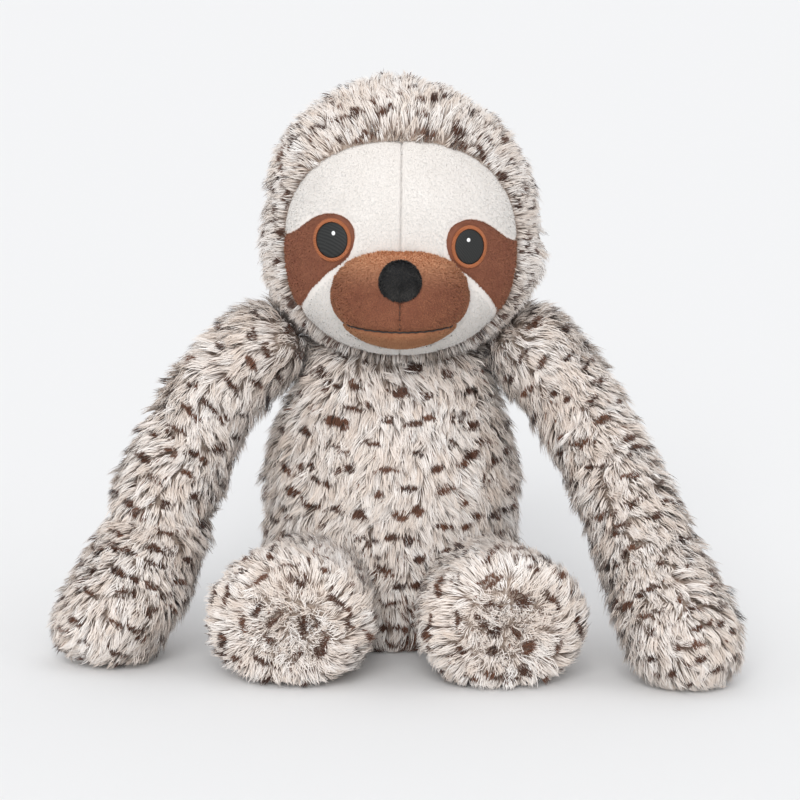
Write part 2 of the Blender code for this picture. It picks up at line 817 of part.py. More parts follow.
def face_outline(grow):
    """The face's edge from the front, a squarish oval."""
    middle = HEAD_BASE + HEAD_HEIGHT * FACE_HEIGHT_SHARE
    power = 2 / (2 + FACE_CORNER_SHARE)
    points = []
    for i in range(FACE_POINTS):
        turn = 2 * math.pi * i / FACE_POINTS
        x = math.copysign(abs(math.cos(turn)) ** power, math.cos(turn))
        z = math.copysign(abs(math.sin(turn)) ** power, math.sin(turn))
        points.append((
            (FACE_HALF_WIDTH + grow) * x,
            middle + (FACE_HALF_HEIGHT + grow) * z,
        ))
    return points


def eye_middle(side):
    """Where the eye is, seen from the front."""
    drop = LEFT_EYE_DROP if side > 0 else 0
    return side * EYE_APART / 2, HEAD_BASE + HEAD_HEIGHT * EYE_HEIGHT_SHARE - drop


def patch_outline(side, grow):
    """The leaf-shaped brown patch round one eye, out to the edge of the face."""
    eye_x, eye_z = eye_middle(side)
    middle_x = eye_x + side * PATCH_HALF_WIDTH * PATCH_OUT_SHARE
    middle_z = eye_z - (LEFT_PATCH_DROP if side > 0 else PATCH_DROP)
    outline = [
        (middle_x + side * PATCH_HALF_WIDTH * out, middle_z + PATCH_HALF_HEIGHT * up)
        for out, up in PATCH_SHARES
    ]
    return grown(outline, grow)


def eye_oval(side, grow):
    """The eye's outline from the front, grown by a width."""
    x, z = eye_middle(side)
    return oval(x, z, EYE_HALF_WIDTH + grow, EYE_HALF_HEIGHT + grow, EYE_POINTS)


def make_eye(side, word, rings, rows, face_hole):
    """Brown patch, stitched ring and embroidered eye, each let into the next."""
    columns = side_columns(side)
    patch_shape = through_face(f"{word}_patch_shape", patch_outline(side, 0))
    cut(patch_shape, face_hole, "INTERSECT")
    ring_edge = eye_oval(side, EYE_RING_WIDTH + SEAM_GAP)
    cut(patch_shape, through_face(f"{word}_ring_edge", ring_edge, SEAM_GAP))
    ring_shape = through_face(f"{word}_ring_shape", eye_oval(side, EYE_RING_WIDTH))
    cut(ring_shape, through_face(f"{word}_eye_edge", eye_oval(side, SEAM_GAP), SEAM_GAP))
    eye_shape = through_face(f"{word}_eye_shape", eye_oval(side, 0))
    pieces = (
        ("eye_patch", patch_shape, "brown_velboa", 0),
        ("eye_ring", ring_shape, "rust_thread", STITCH_RELIEF),
        ("eye", eye_shape, "black_thread", STITCH_RELIEF),
    )
    for name, shape, material_name, relief in pieces:
        piece = sewn_panel(
            f"{word}_{name}", rings, FACE_CLOTH, columns, rows, material_name, relief
        )
        cut(piece, shape, "INTERSECT")


# Muzzle, mouth and nose

def muzzle_middle():
    """Middle of the muzzle's dome: height, and depth behind the face."""
    z = HEAD_BASE + HEAD_HEIGHT * MUZZLE_HEIGHT_SHARE
    face = HEAD_MIDDLE_Y - HEAD_FRONT_DEPTH * share_at(HEAD_SHARES, MUZZLE_HEIGHT_SHARE, 2)
    return Vector((0, face + MUZZLE_SINK, z))


def muzzle_outline(share):
    """The dome's outline from the front, at a share of its size."""
    middle = muzzle_middle()
    return oval(
        middle.x,
        middle.z,
        MUZZLE_HALF_WIDTH * share,
        MUZZLE_HALF_HEIGHT * share,
        MUZZLE_SIDES,
    )


def egg_form(name, middle, half_width, half_depth, half_height, sides, count, material_name):
    """A closed egg whose rings stand square to Y, its poles in front and behind."""
    rings = []
    for i in range(1, count):
        angle = math.pi * i / count
        rings.append([
            (
                middle.x + half_width * math.sin(angle) * math.cos(2 * math.pi * j / sides),
                middle.y - half_depth * math.cos(angle),
                middle.z + half_height * math.sin(angle) * math.sin(2 * math.pi * j / sides),
            )
            for j in range(sides)
        ])
    bm = bmesh.new()
    points = add_patch(bm, np.asarray(rings), closed=True)
    for row, place in ((points[0], -half_depth), (points[-1], half_depth)):
        pole = bm.verts.new(middle + Vector((0, place, 0)))
        for j in range(sides):
            bm.faces.new((row[j], row[(j + 1) % sides], pole))
    return object_from_bmesh(bm, name, material_name)


def muzzle_form(name, shrink, material_name):
    """The muzzle's egg, smaller all round by a thickness."""
    return egg_form(
        name,
        muzzle_middle(),
        MUZZLE_HALF_WIDTH - shrink,
        MUZZLE_STAND_OUT + MUZZLE_SINK - shrink,
        MUZZLE_HALF_HEIGHT - shrink,
        MUZZLE_SIDES,
        MUZZLE_RINGS,
        material_name,
    )


def mouth_height(x):
    """Height of the mouth line at a distance from the middle: it rises to the corners."""
    low = muzzle_middle().z - MUZZLE_HALF_HEIGHT * MOUTH_DROP_SHARE
    corner = MUZZLE_HALF_WIDTH * MOUTH_HALF_WIDTH_SHARE
    return low + MOUTH_SMILE * (x / corner) ** 2


def mouth_band(name, upper):
    """A cutter for all above, or all below, the channel that the mouth thread lies in."""
    reach = MUZZLE_HALF_WIDTH + MOUTH_OVERRUN
    half = MOUTH_THREAD_RADIUS + SEAM_GAP
    shift = half if upper else -half
    far = muzzle_middle().z + (1 if upper else -1) * (MUZZLE_HALF_HEIGHT + OVERRUN)
    line = []
    for i in range(MOUTH_POINTS):
        x = -reach + 2 * reach * i / (MOUTH_POINTS - 1)
        line.append((x, mouth_height(x) + shift))
    outline = line + [(reach, far), (-reach, far)]
    if not upper:
        outline = outline[::-1]
    return through_face(name, outline)


def muzzle_front(x, z, shrink):
    """Depth of the dome's front surface at a place seen from the front."""
    middle = muzzle_middle()
    across = (x - middle.x) / (MUZZLE_HALF_WIDTH - shrink)
    up = (z - middle.z) / (MUZZLE_HALF_HEIGHT - shrink)
    rest = max(0.0, 1 - across ** 2 - up ** 2)
    return middle.y - (MUZZLE_STAND_OUT + MUZZLE_SINK - shrink) * math.sqrt(rest)


def make_muzzle(rings):
    """Upper panel, chin panel, filling, mouth thread and nose."""
    face = solid_form("face_rest", rings, None, -SEAM_GAP)
    lining = muzzle_form("muzzle_lining", FACE_CLOTH, None)
    for name, upper in (("muzzle_upper_panel", True), ("chin_panel", False)):
        panel = muzzle_form(name, 0, "brown_velboa")
        cut(panel, mouth_band(f"{name}_band", upper), "INTERSECT")
        cut(panel, lining)
        cut(panel, face)
    filling = muzzle_form("muzzle_filling", FACE_CLOTH + SEAM_GAP, "stuffing")
    cut(filling, face)
    make_mouth()
    make_nose()


def make_mouth():
    """The embroidered mouth line, a thread laid in the channel over the filling."""
    corner = MUZZLE_HALF_WIDTH * MOUTH_HALF_WIDTH_SHARE
    curve = bpy.data.curves.new("mouth_thread", "CURVE")
    curve.dimensions = "3D"
    curve.bevel_depth = MOUTH_THREAD_RADIUS
    curve.bevel_resolution = THREAD_SIDES_RESOLUTION
    curve.use_fill_caps = True
    spline = curve.splines.new("POLY")
    spline.points.add(MOUTH_POINTS - 1)
    depth = FACE_CLOTH - MOUTH_THREAD_RADIUS
    for i, point in enumerate(spline.points):
        x = -corner + 2 * corner * i / (MOUTH_POINTS - 1)
        z = mouth_height(x)
        point.co = (x, muzzle_front(x, z, depth), z, 1)
    curve.materials.append(material("black_thread"))
    obj = bpy.data.objects.new("mouth_thread", curve)
    bpy.context.scene.collection.objects.link(obj)
    return obj


def make_nose():
    """A flocked nose pad, rounded and seated on the muzzle."""
    middle = muzzle_middle()
    z = middle.z + MUZZLE_HALF_HEIGHT * NOSE_UP_SHARE
    seat = muzzle_front(0, z, 0)
    nose = egg_form(
        "nose",
        Vector((0, seat, z)),
        NOSE_HALF_WIDTH,
        NOSE_THICKNESS,
        NOSE_HALF_HEIGHT,
        NOSE_SIDES,
        NOSE_RINGS,
        "black_flock",
    )
    cut(nose, muzzle_form("nose_seat", -SEAM_GAP, None))
    return nose


# Arms

def make_arm(side, word, cutters):
    """Inner and outer panel with seams down the front and back, and the filling."""
    rings = arm_rings(side)
    rows = (0, len(rings) - 1)
    half = ARM_SIDES // 2
    order = ("inner", "outer") if side > 0 else ("outer", "inner")
    place = shoulder(side)
    for name, columns in zip(order, ((0, half), (half, 2 * half))):
        panel = sewn_panel(
            f"{word}_arm_{name}_panel", rings, FUR_CLOTH, columns, rows, "spotted_fur",
            origin=place,
        )
        cut(panel, cutters["floor"])
    core = rings[ARM_ROOT_RINGS + 1:]
    filling = solid_form(
        f"{word}_arm_filling", core, "stuffing", FUR_CLOTH + SEAM_GAP, place
    )
    cut(filling, cutters[f"{word}_wad"])
    ball(f"{word}_shoulder_filling", place, shoulder_wad_radius(), "stuffing")


# Legs

def make_leg(side, word, cutters):
    """Upper and lower panel with seams along the sides, round sole and filling."""
    rings, seam_row = leg_form(side)
    quarter = LEG_SIDES // 4
    place = hip(side)
    for name, columns in (("upper", (-quarter, quarter)), ("lower", (quarter, 3 * quarter))):
        panel = sewn_panel(
            f"{word}_leg_{name}_panel", rings, FUR_CLOTH, columns, (0, seam_row),
            "spotted_fur", origin=place,
        )
        cut(panel, cutters["floor"])
    sewn_panel(
        f"{word}_sole_panel", rings, FUR_CLOTH, (0, LEG_SIDES), (seam_row, len(rings) - 1),
        "spotted_fur", origin=place,
    )
    solid_form(
        f"{word}_leg_filling", rings, "stuffing", FUR_CLOTH + SEAM_GAP, place
    )


def build():
    """Make the whole toy."""
    clear_scene()
    cutters = make_cutters()
    make_torso(cutters)
    ball("neck_filling", NECK, NECK_RADIUS, "stuffing")
    make_head(cutters)
    for side, word in ((1, "left"), (-1, "right")):
        make_arm(side, word, cutters)
        make_leg(side, word, cutters)


build()
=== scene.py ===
# %% [markdown]
# # A seated plush sloth
# The toy is a stuffed body, head and four limbs of long-pile cloth, with a face of short-pile
# cloth, embroidered eyes, a padded muzzle and a flocked nose. The solid model gives every size
# and place. This file dresses it: it plumps each stuffed form, sews the face on and grows the
# pile fibre by fibre, because at this size pile is a shape and not only a colour.

# %% Load the fixed frame
import json
import math

import bmesh
import bpy
import numpy as np
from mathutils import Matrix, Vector, kdtree, noise
from mathutils.bvhtree import BVHTree


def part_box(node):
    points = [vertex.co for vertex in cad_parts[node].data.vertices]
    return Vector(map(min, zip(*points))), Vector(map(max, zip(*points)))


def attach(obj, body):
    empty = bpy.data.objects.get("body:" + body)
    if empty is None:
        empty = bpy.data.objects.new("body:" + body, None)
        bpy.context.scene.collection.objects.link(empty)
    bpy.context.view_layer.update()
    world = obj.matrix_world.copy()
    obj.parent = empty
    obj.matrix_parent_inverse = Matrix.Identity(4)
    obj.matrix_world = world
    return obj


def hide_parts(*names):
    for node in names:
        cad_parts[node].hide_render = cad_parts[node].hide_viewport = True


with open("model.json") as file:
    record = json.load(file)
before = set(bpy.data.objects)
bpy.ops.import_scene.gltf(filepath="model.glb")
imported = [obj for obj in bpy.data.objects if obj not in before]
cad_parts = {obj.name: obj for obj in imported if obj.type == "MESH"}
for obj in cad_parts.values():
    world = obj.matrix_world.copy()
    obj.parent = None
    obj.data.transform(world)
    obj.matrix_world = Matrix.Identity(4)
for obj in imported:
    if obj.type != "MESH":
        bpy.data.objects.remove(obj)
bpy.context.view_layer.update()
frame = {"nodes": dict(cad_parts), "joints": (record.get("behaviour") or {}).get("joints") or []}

MM = 0.001
joint_place = {j["name"]: Vector(j["pos_m"]) for j in frame["joints"]}

# %% [markdown]
# ## Camera
# The photograph was taken from in front, ten degrees above the toy's middle, with a long lens,
# so near and far parts differ little in size. A plain perspective camera 1.6 m away does that.

# %% The camera
TARGET = Vector((0.0005, -0.05, 0.1275))
DISTANCE = 1.6
ELEVATION = math.radians(10)
PIXELS = 800
SCALE = 0.485 * MM          # metres per pixel at the target

camera_data = bpy.data.cameras.new("camera")
camera_data.sensor_width = 36
camera_data.lens = DISTANCE / SCALE * camera_data.sensor_width / PIXELS
camera = bpy.data.objects.new("camera", camera_data)
bpy.context.scene.collection.objects.link(camera)
back = Vector((0, -math.cos(ELEVATION), math.sin(ELEVATION)))
camera.location = TARGET + back * DISTANCE
camera.rotation_euler = (math.pi / 2 - ELEVATION, 0, 0)
camera.rotation_euler.rotate_axis("Z", math.radians(0.6))
bpy.context.scene.camera = camera
print("lens", round(camera_data.lens, 1), "mm")

# %% [markdown]
# ## Light and floor
# The toy sits on a pale sweep under large soft lights. A wide sun from in front and a little
# to the left gives the pile its shading, an even sky fills the shadows, and a matt floor takes
# a soft contact shadow. In the Standard view the pale floor comes out as pale as it is.

# %% Colours, nodes and the floor


def linear(code):
    """An sRGB hex colour as linear red, green, blue and alpha."""
    parts = [int(code[i:i + 2], 16) / 255 for i in (1, 3, 5)]
    return (*[c / 12.92 if c < 0.04045 else ((c + 0.055) / 1.055) ** 2.4 for c in parts], 1)


def node(material, kind, inputs=None, **settings):
    """Add a node, set its options, and fill its inputs with values or other nodes' outputs."""
    made = material.node_tree.nodes.new(kind)
    for name, value in settings.items():
        setattr(made, name, value)
    for key, value in (inputs or {}).items():
        if isinstance(value, bpy.types.NodeSocket):
            material.node_tree.links.new(value, made.inputs[key])
        else:
            made.inputs[key].default_value = value
    return made


def new_material(name, roughness, **sockets):
    """A material with its Principled shader, whose plain values are set on its own sockets."""
    made = bpy.data.materials.new(name)
    made.use_nodes = True
    shader = made.node_tree.nodes["Principled BSDF"]
    shader.inputs["Roughness"].default_value = roughness
    for key, value in sockets.items():
        shader.inputs[key.replace("_", " ")].default_value = value
    return made, shader


scene = bpy.context.scene
scene.view_settings.view_transform = "Standard"
world = scene.world or bpy.data.worlds.new("sky")
scene.world = world
world.use_nodes = True
world.node_tree.nodes["Background"].inputs["Color"].default_value = linear("#F7F8FA")
world.node_tree.nodes["Background"].inputs["Strength"].default_value = 0.84

sun_data = bpy.data.lights.new("soft_sun", "SUN")
sun_data.energy = 1.8
sun_data.angle = math.radians(34)
sun = bpy.data.objects.new("soft_sun", sun_data)
scene.collection.objects.link(sun)
sun.rotation_euler = (math.radians(60), math.radians(-10), 0)

bpy.ops.object.select_all(action="DESELECT")
bpy.ops.mesh.primitive_plane_add(size=24, location=(0, 6, 0))
floor = bpy.context.object
floor.name = "floor"
paper, shader = new_material("white_paper_sweep", 0.9)
grain = node(paper, "ShaderNodeTexNoise", {"Scale": 3, "Detail": 3})
tone = node(paper, "ShaderNodeMix", {"Factor": grain.outputs["Fac"], "A": linear("#EFEFEF"),
                                     "B": linear("#EDEDED")}, data_type="RGBA")
paper.node_tree.links.new(tone.outputs["Result"], shader.inputs["Base Color"])
floor.data.materials.append(paper)

# %% [markdown]
# ## Stuffed forms
# Each stuffed form is a closed cover blown up by its filling. The solid model's panels and
# filling are copied, fused into one skin by a voxel remesh and smoothed, and then a short
# cloth simulation with air pressure swells the skin between its seams, as filling does.
# The swelling is capped, so that the form stays in the place that the solid model gives it.

# %% Fuse, smooth and plump
SLICES = 30                 # slices of a form in which its sides are found


def deselect():
    bpy.ops.object.select_all(action="DESELECT")


def pick(obj):
    """Make one object the selected and active one."""
    deselect()
    obj.select_set(True)
    bpy.context.view_layer.objects.active = obj


def apply_modifiers(obj):
    pick(obj)
    for step in list(obj.modifiers):
        bpy.ops.object.modifier_apply(modifier=step.name)


def on_whole_mesh(obj, *steps):
    """Run these edit-mode steps on everything in an object."""
    pick(obj)
    bpy.ops.object.mode_set(mode="EDIT")
    bpy.ops.mesh.select_all(action="SELECT")
    for step, options in steps:
        step(**options)
    bpy.ops.object.mode_set(mode="OBJECT")


def points_of(obj, what="co"):
    """An object's vertices as a table of places."""
    flat = np.empty(len(obj.data.vertices) * 3, np.float32)
    obj.data.vertices.foreach_get(what, flat)
    return flat.reshape(-1, 3).astype(float)


def normals_of(obj):
    return points_of(obj, "normal")


def linked(name, mesh):
    made = bpy.data.objects.new(name, mesh)
    scene.collection.objects.link(made)
    return made


def set_points(obj, places):
    obj.data.vertices.foreach_set("co", places.astype(np.float32).ravel())
    obj.data.update()


def fused(name, nodes, voxel, smoothing):
    """One closed skin round copies of these solids."""
    copies = []
    for node_name in nodes:
        copy = frame["nodes"][node_name].copy()
        copy.data = copy.data.copy()
        for key in list(copy.keys()):
            del copy[key]
        copy.parent = None
        scene.collection.objects.link(copy)
        copies.append(copy)
    deselect()
    for copy in copies:
        copy.select_set(True)
    bpy.context.view_layer.objects.active = copies[0]
    if len(copies) > 1:
        bpy.ops.object.join()
    skin = bpy.context.view_layer.objects.active
    skin.name = name
    skin.data.name = name
    skin.data.materials.clear()
    on_whole_mesh(skin, (bpy.ops.mesh.remove_doubles, {"threshold": 0.000002}))
    remesh = skin.modifiers.new("one_skin", "REMESH")
    remesh.mode = "VOXEL"
    remesh.voxel_size = voxel
    smooth = skin.modifiers.new("smooth", "SMOOTH")
    smooth.iterations = smoothing
    smooth.factor = 0.5
    apply_modifiers(skin)
    keep_largest(skin)
    return skin


def keep_largest(skin):
    """Delete the small closed bubbles that a remesh can leave inside a skin."""
    bm = bmesh.new()
    bm.from_mesh(skin.data)
    left, groups = set(bm.verts), []
    while left:
        group, edge = set(), [left.pop()]
        while edge:
            vert = edge.pop()
            group.add(vert)
            for link in vert.link_edges:
                other = link.other_vert(vert)
                if other in left:
                    left.remove(other)
                    edge.append(other)
        groups.append(group)
    groups.sort(key=len)
    for group in groups[:-1]:
        bmesh.ops.delete(bm, geom=list(group), context="VERTS")
    bm.to_mesh(skin.data)
    bm.free()


def plumped(skin, pressure, cap):
    """Swell the skin by air pressure, no point further than the cap."""
    start = points_of(skin)
    cloth = skin.modifiers.new("filling", "CLOTH")
    cloth.settings.use_pressure = True
    cloth.settings.uniform_pressure_force = pressure
    cloth.settings.effector_weights.gravity = 0
    cloth.settings.tension_stiffness = 25
    cloth.settings.compression_stiffness = 25
    cloth.settings.bending_stiffness = 1.5
    for step in range(1, 16):
        scene.frame_set(step)
    apply_modifiers(skin)
    scene.frame_set(1)
    moved = points_of(skin) - start
    length = np.linalg.norm(moved, axis=1, keepdims=True)
    set_points(skin, start + moved * np.minimum(1, cap / np.maximum(length, 1e-9)))
    return skin


def flat_on_floor(skin):
    places = points_of(skin)
    places[:, 2] = np.maximum(places[:, 2], 0.0002)
    set_points(skin, places)


def sliced(z, count):
    """Which slice each height lies in, and the middle height of each slice."""
    edges = np.linspace(z.min(), z.max(), count + 1)
    return np.clip(np.searchsorted(edges, z) - 1, 0, count - 1), (edges[1:] + edges[:-1]) / 2


def taken_in(skin, heights, depths):
    """Draw a form in along its normals, by so many millimetres at each height."""
    places = points_of(skin)
    depth = np.interp(places[:, 2], np.array(heights) * MM, np.array(depths) * MM)
    set_points(skin, places - normals_of(skin) * depth[:, None])


def moved_sides(skin, heights, low_side, high_side, round_too=False):
    """Move the form's two sides along X, by so many millimetres at each height."""
    places = points_of(skin)
    x, z = places[:, 0].copy(), places[:, 2]
    slices, middles = sliced(z, SLICES)
    low = np.interp(z, middles, [x[slices == k].min() for k in range(SLICES)])
    high = np.interp(z, middles, [x[slices == k].max() for k in range(SLICES)])
    share = np.clip((x - low) / (high - low), 0, 1)
    heights = np.array(heights) * MM
    left = np.interp(z, heights, np.array(low_side) * MM)
    right = np.interp(z, heights, np.array(high_side) * MM)
    places[:, 0] += left * (1 - share) + right * share
    if round_too:
        centre = np.interp(z, middles, [places[slices == k, 1].mean()
                                        for k in range(SLICES)])
        ratio = (high - low + right - left) / (high - low)
        places[:, 1] = centre + (places[:, 1] - centre) * ratio
    set_points(skin, places)


WORDS = (("left", 1), ("right", -1))
VOXEL = 3.5 * MM
PRESSURE = 3

# For each form: its body, the solids it stands for, the others inside its skin, how often it
# is smoothed, and how many millimetres it may swell.
FORMS = {
    "torso": ("root", ["torso_front_panel", "torso_back_panel", "seat_panel", "torso_filling"],
              ["pellet_bag"], 6, 2),
    "head": ("head", ["head_left_panel", "head_right_panel", "head_filling"],
             ["face_left_panel", "face_right_panel", "left_eye_patch", "right_eye_patch",
              "left_eye", "right_eye", "left_eye_ring", "right_eye_ring"], 8, 1.5),
}
for word, _ in WORDS:
    arm, leg = f"{word}_arm", f"{word}_leg"
    FORMS[arm] = (arm, [f"{arm}_inner_panel", f"{arm}_outer_panel", f"{arm}_filling"],
                  [f"{word}_shoulder_filling"], 6, 2)
    FORMS[leg] = (leg, [f"{leg}_upper_panel", f"{leg}_lower_panel", f"{word}_sole_panel",
                        f"{leg}_filling"], [], 6, 1.5)
stuffed = {name: plumped(fused(f"{name}_skin", own + more, VOXEL, smoothing), PRESSURE, cap * MM)
           for name, (_, own, more, smoothing, cap) in FORMS.items()}

# %% [markdown]
# ## Hand-stuffed shapes
# A cover stuffed by hand never comes out even: the two arms bow in different ways, the head
# leans and the torso is drawn in at the waist. A sculpting brush or a lattice could do this.
# Here each form is drawn in along its normals, so that the tips of the pile and not the
# backing reach the solid's surface, and its two sides are moved by a few millimetres at given
# heights, which keeps every fold on its place. The right arm also folds at its elbow.

# %% Shape each form as it was stuffed and sat
ELBOW = 69                  # height in mm of the fold at the right arm's elbow
taken_in(stuffed["torso"], (0, 150), (0.5, 0.5))
moved_sides(stuffed["torso"], (0, 30, 55, 66, 85, 104, 124, 150),
            (0, 0, 0, 0, -2, -1.5, 1.5, 0), (0, -3, -7, -6.5, -5, -5, -4.5, -3))
moved_sides(stuffed["head"], (150, 170, 178, 193, 200, 207, 222, 229, 244, 259, 274),
            (0, -3, -2.5, 1.5, 1.5, 3, 5.5, 4.4, 2.2, 2, 0),
            (0, 3.5, 3, 1, -2, -4, -4, -4.4, -5.8, -7, -7.5))
for word, _ in WORDS:
    taken_in(stuffed[f"{word}_arm"], (5, 34, 62, 130, 150), (1.5, 3, 4.5, 5, 4))
moved_sides(stuffed["left_arm"], (8, 34, 66, 91, 109, 122, 140, 154),
            (6, 4, 5, 5, 5.5, 6, 3.5, 0), (6, 3, 2, 4, 4.5, 5, 4.5, 4), round_too=True)
moved_sides(stuffed["right_arm"], (5, 17, 34, 62, 86, 104, 115, 130, 148),
            (0, -2, 3, 6.5, 0, -3, -4.5, -7, -6), (0, 0, 6, 5, 2, -3, -7, -7.5, -3),
            round_too=True)
taken_in(stuffed["right_arm"], (ELBOW - 9, ELBOW - 3, ELBOW, ELBOW + 3, ELBOW + 9),
         (0, 1.6, 4, 1.6, 0))
moved_sides(stuffed["right_leg"], (0, 30, 60), (0, 0, 0), (-3.5, -3.5, -3.5))
moved_sides(stuffed["left_leg"], (0, 30, 60), (3.5, 3.5, 3.5), (0.5, 0.5, 0.5))
for skin in stuffed.values():
    flat_on_floor(skin)
    print(skin.name, len(skin.data.polygons), "faces")

# %% [markdown]
# ## The cloth under the pile
# Long-pile cloth is a knitted backing that carries the fibres. The backing is hardly seen, but
# it closes every gap between them, so it is given the beige-grey of fibres in shade, which is
# painted shade, with the loops of the knit as a fine bump. The wads and the sack of pellets
# inside are plain stuffed forms.

# %% The knitted backing and the filling


def rising_to(material, colour, at, rising):
    """Fade a colour to another one between two heights."""
    height = node(material, "ShaderNodeSeparateXYZ", {"Vector": at})
    up = node(material, "ShaderNodeMapRange", {"Value": height.outputs["Z"],
                                               "From Min": rising[0], "From Max": rising[1]},
              interpolation_type="SMOOTHSTEP")
    return node(material, "ShaderNodeMix", {"Factor": up.outputs["Result"],
                                            "A": colour.outputs["Result"],
                                            "B": linear(rising[2])}, data_type="RGBA")


def knitted(name, low, high, pitch, depth, rising=None):
    """Cloth whose colour drifts between two shades and whose threads lie a pitch apart.
    Rising gives two heights and a colour: the cloth fades to it between them."""
    made, shader = new_material(name, 0.95)
    at = node(made, "ShaderNodeTexCoord").outputs["Object"]
    drift = node(made, "ShaderNodeTexNoise", {"Vector": at, "Scale": 90, "Detail": 4})
    shade = node(made, "ShaderNodeMix", {"Factor": drift.outputs["Fac"], "A": linear(low),
                                         "B": linear(high)}, data_type="RGBA")
    if rising:
        shade = rising_to(made, shade, at, rising)
    made.node_tree.links.new(shade.outputs["Result"], shader.inputs["Base Color"])
    loops = node(made, "ShaderNodeTexVoronoi", {"Vector": at, "Scale": 1 / pitch})
    raised = node(made, "ShaderNodeBump", {"Height": loops.outputs["Distance"],
                                           "Strength": 0.6, "Distance": depth})
    made.node_tree.links.new(raised.outputs["Normal"], shader.inputs["Normal"])
    return made


# Painted shade: the backing gets the beige-grey that the fibres have in shade, and it shows
# between them.
backing = knitted("knitted_acrylic_backing_painted_shade", "#A8978A", "#BFAFA1", 1.1 * MM, 0.3 * MM)
wadding = knitted("polyester_fibrefill", "#EDEBE6", "#F8F7F4", 3 * MM, 1.2 * MM)
calico = knitted("woven_cotton_calico", "#D8CCB4", "#E6DCC6", 0.8 * MM, 0.2 * MM)


def dress(piece, material, body, slot, *nodes):
    """Give a finished piece its material, its body and the solids it stands for. The slot is not
    used.
    """
    piece.data.materials.clear()
    piece.data.materials.append(material)
    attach(piece, body)
    if nodes:
        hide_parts(*nodes)
    return piece


def smooth_shaded(piece):
    pick(piece)
    bpy.ops.object.shade_smooth()


for name, (body, own, *_) in FORMS.items():
    dress(stuffed[name], backing, body, "spotted_fur", *own)
for skin in stuffed.values():
    smooth_shaded(skin)

WADS = [("neck_wad", "neck_filling", "neck", wadding, "stuffing"),
        *((f"{word}_shoulder_wad", f"{word}_shoulder_filling", f"{word}_shoulder", wadding,
           "stuffing") for word, _ in WORDS),
        ("pellet_sack", "pellet_bag", "root", calico, "pellet_cloth")]
for name, solid, body, material, slot in WADS:
    wad = fused(name, [solid], 3 * MM, 3)
    if "shoulder" in name:
        taken_in(wad, (0, 300), (6, 6))
    dress(wad, material, body, slot, solid)
    smooth_shaded(wad)
print("backing and wads dressed:", len(stuffed) + len(WADS))

# %% [markdown]
# ## How the pile lies
# Pile cloth is cut so that its fibres all run one way, and brushing turns them round seams.
# Each form gets a combing direction at every point of its skin: down the torso and a little
# sideways, away from the face over the head, along the arms away from the seam in front, and
# outwards from the middle of each sole. The pile is clipped short where it meets the face.
# The field also says where more fibres are dyed dark. Where forms meet, inside the arms and low
# on the torso's front, this is painted shade.

# %% Combing, length and bare places
FUR = 14 * MM               # length of a fibre on the body
FACE_MIDDLE = (0, 202.9 * MM)
FACE_HALF = (57 * MM, 51.3 * MM)
FACE_DOWN = 53.8 * MM       # its lower half is longer and squarer
FACE_POWER = 2.25
FACE_LOW_POWER = 2.5
FACE_SPREAD = 52 * MM       # from the face's middle to its outline, on the average
IN_FACE = 0.985             # what lies in the face, just inside its turned edge
LEG_SPLAY = math.radians(11)
CLEAR = 0.4 * MM            # how far the pile stays off the floor


def unit(vectors):
    return vectors / np.maximum(np.linalg.norm(vectors, axis=-1, keepdims=True), 1e-9)


def laid(vectors, normals):
    """These directions, turned to lie along the surface."""
    return unit(vectors - (vectors * normals).sum(1, keepdims=True) * normals)


def tree_of(skin):
    return BVHTree.FromPolygons([v.co for v in skin.data.vertices],
                                [p.vertices for p in skin.data.polygons])


trees = {name: tree_of(skin) for name, skin in stuffed.items()}


def room(places, others):
    """Distance from each place to the nearest of these skins, less than 0 inside one."""
    found = np.full(len(places), 1.0)
    for other in others:
        for i, place in enumerate(places):
            at, normal, _, far = trees[other].find_nearest(Vector(place), 0.03)
            if at is not None:
                signed = far if (Vector(place) - at).dot(normal) > 0 else -far
                found[i] = min(found[i], signed)
    return found


def face_share(places):
    """1 on the face's outline, less inside it, seen from in front."""
    out = np.abs(places[:, 0] - FACE_MIDDLE[0]) / FACE_HALF[0]
    up = places[:, 2] - FACE_MIDDLE[1]
    power = np.where(up > 0, FACE_POWER, FACE_LOW_POWER)
    up = np.abs(up) / np.where(up > 0, FACE_HALF[1], FACE_DOWN)
    return (out ** power + up ** power) ** (1 / power)


def centre_line(places, start, end, slices=9):
    """Middle points of a limb's slices from start to end."""
    axis = end - start
    share = (places - start) @ axis / (axis @ axis)
    middles = [places[np.abs(share - k / (slices - 1)) < 0.5 / (slices - 1)].mean(0)
               for k in range(1, slices - 1)]
    return np.array([start, *middles, end])


def comb_torso(places):
    comb = np.stack([places[:, 0] * 6, 0 * places[:, 1], np.full(len(places), -1.0)], 1)
    return comb, np.full(len(places), 1.0)


def comb_head(places):
    """Away from the face in front, then back and down behind."""
    out = unit(places[:, [0, 2]] - FACE_MIDDLE)
    behind = np.clip((places[:, 1] + 0.035) / 0.05, 0, 1)
    comb = np.stack([out[:, 0], 0.25 + 0.5 * behind, out[:, 1] - 1.3 * behind - 0.15], 1)
    edge = (face_share(places) - 1) * FACE_SPREAD
    length = np.where(places[:, 1] < -0.01, np.clip(0.52 + edge / (18 * MM), 0.48, 0.92), 0.95)
    return comb, length


def comb_arm(places, word):
    """Along the arm, and away from the seam that runs down its front."""
    start = np.array(joint_place[f"{word}_arm_swing"])
    low, high = places.min(0), places.max(0)
    end = np.array([high[0] - 0.024 if word == "left" else low[0] + 0.024,
                    low[1] + 0.026, 0.026])
    line = centre_line(places, start, end)
    near = np.argmin(np.linalg.norm(places[:, None] - line[None], axis=2), axis=1)
    along = np.gradient(line, axis=0)[near]
    around = unit(places - line[near])
    comb = unit(along) + 0.75 * around * [1, 0.2, 0.5]
    length = np.clip(1.02 - 0.15 * near / (len(line) - 1), 0, 1)
    return comb, length


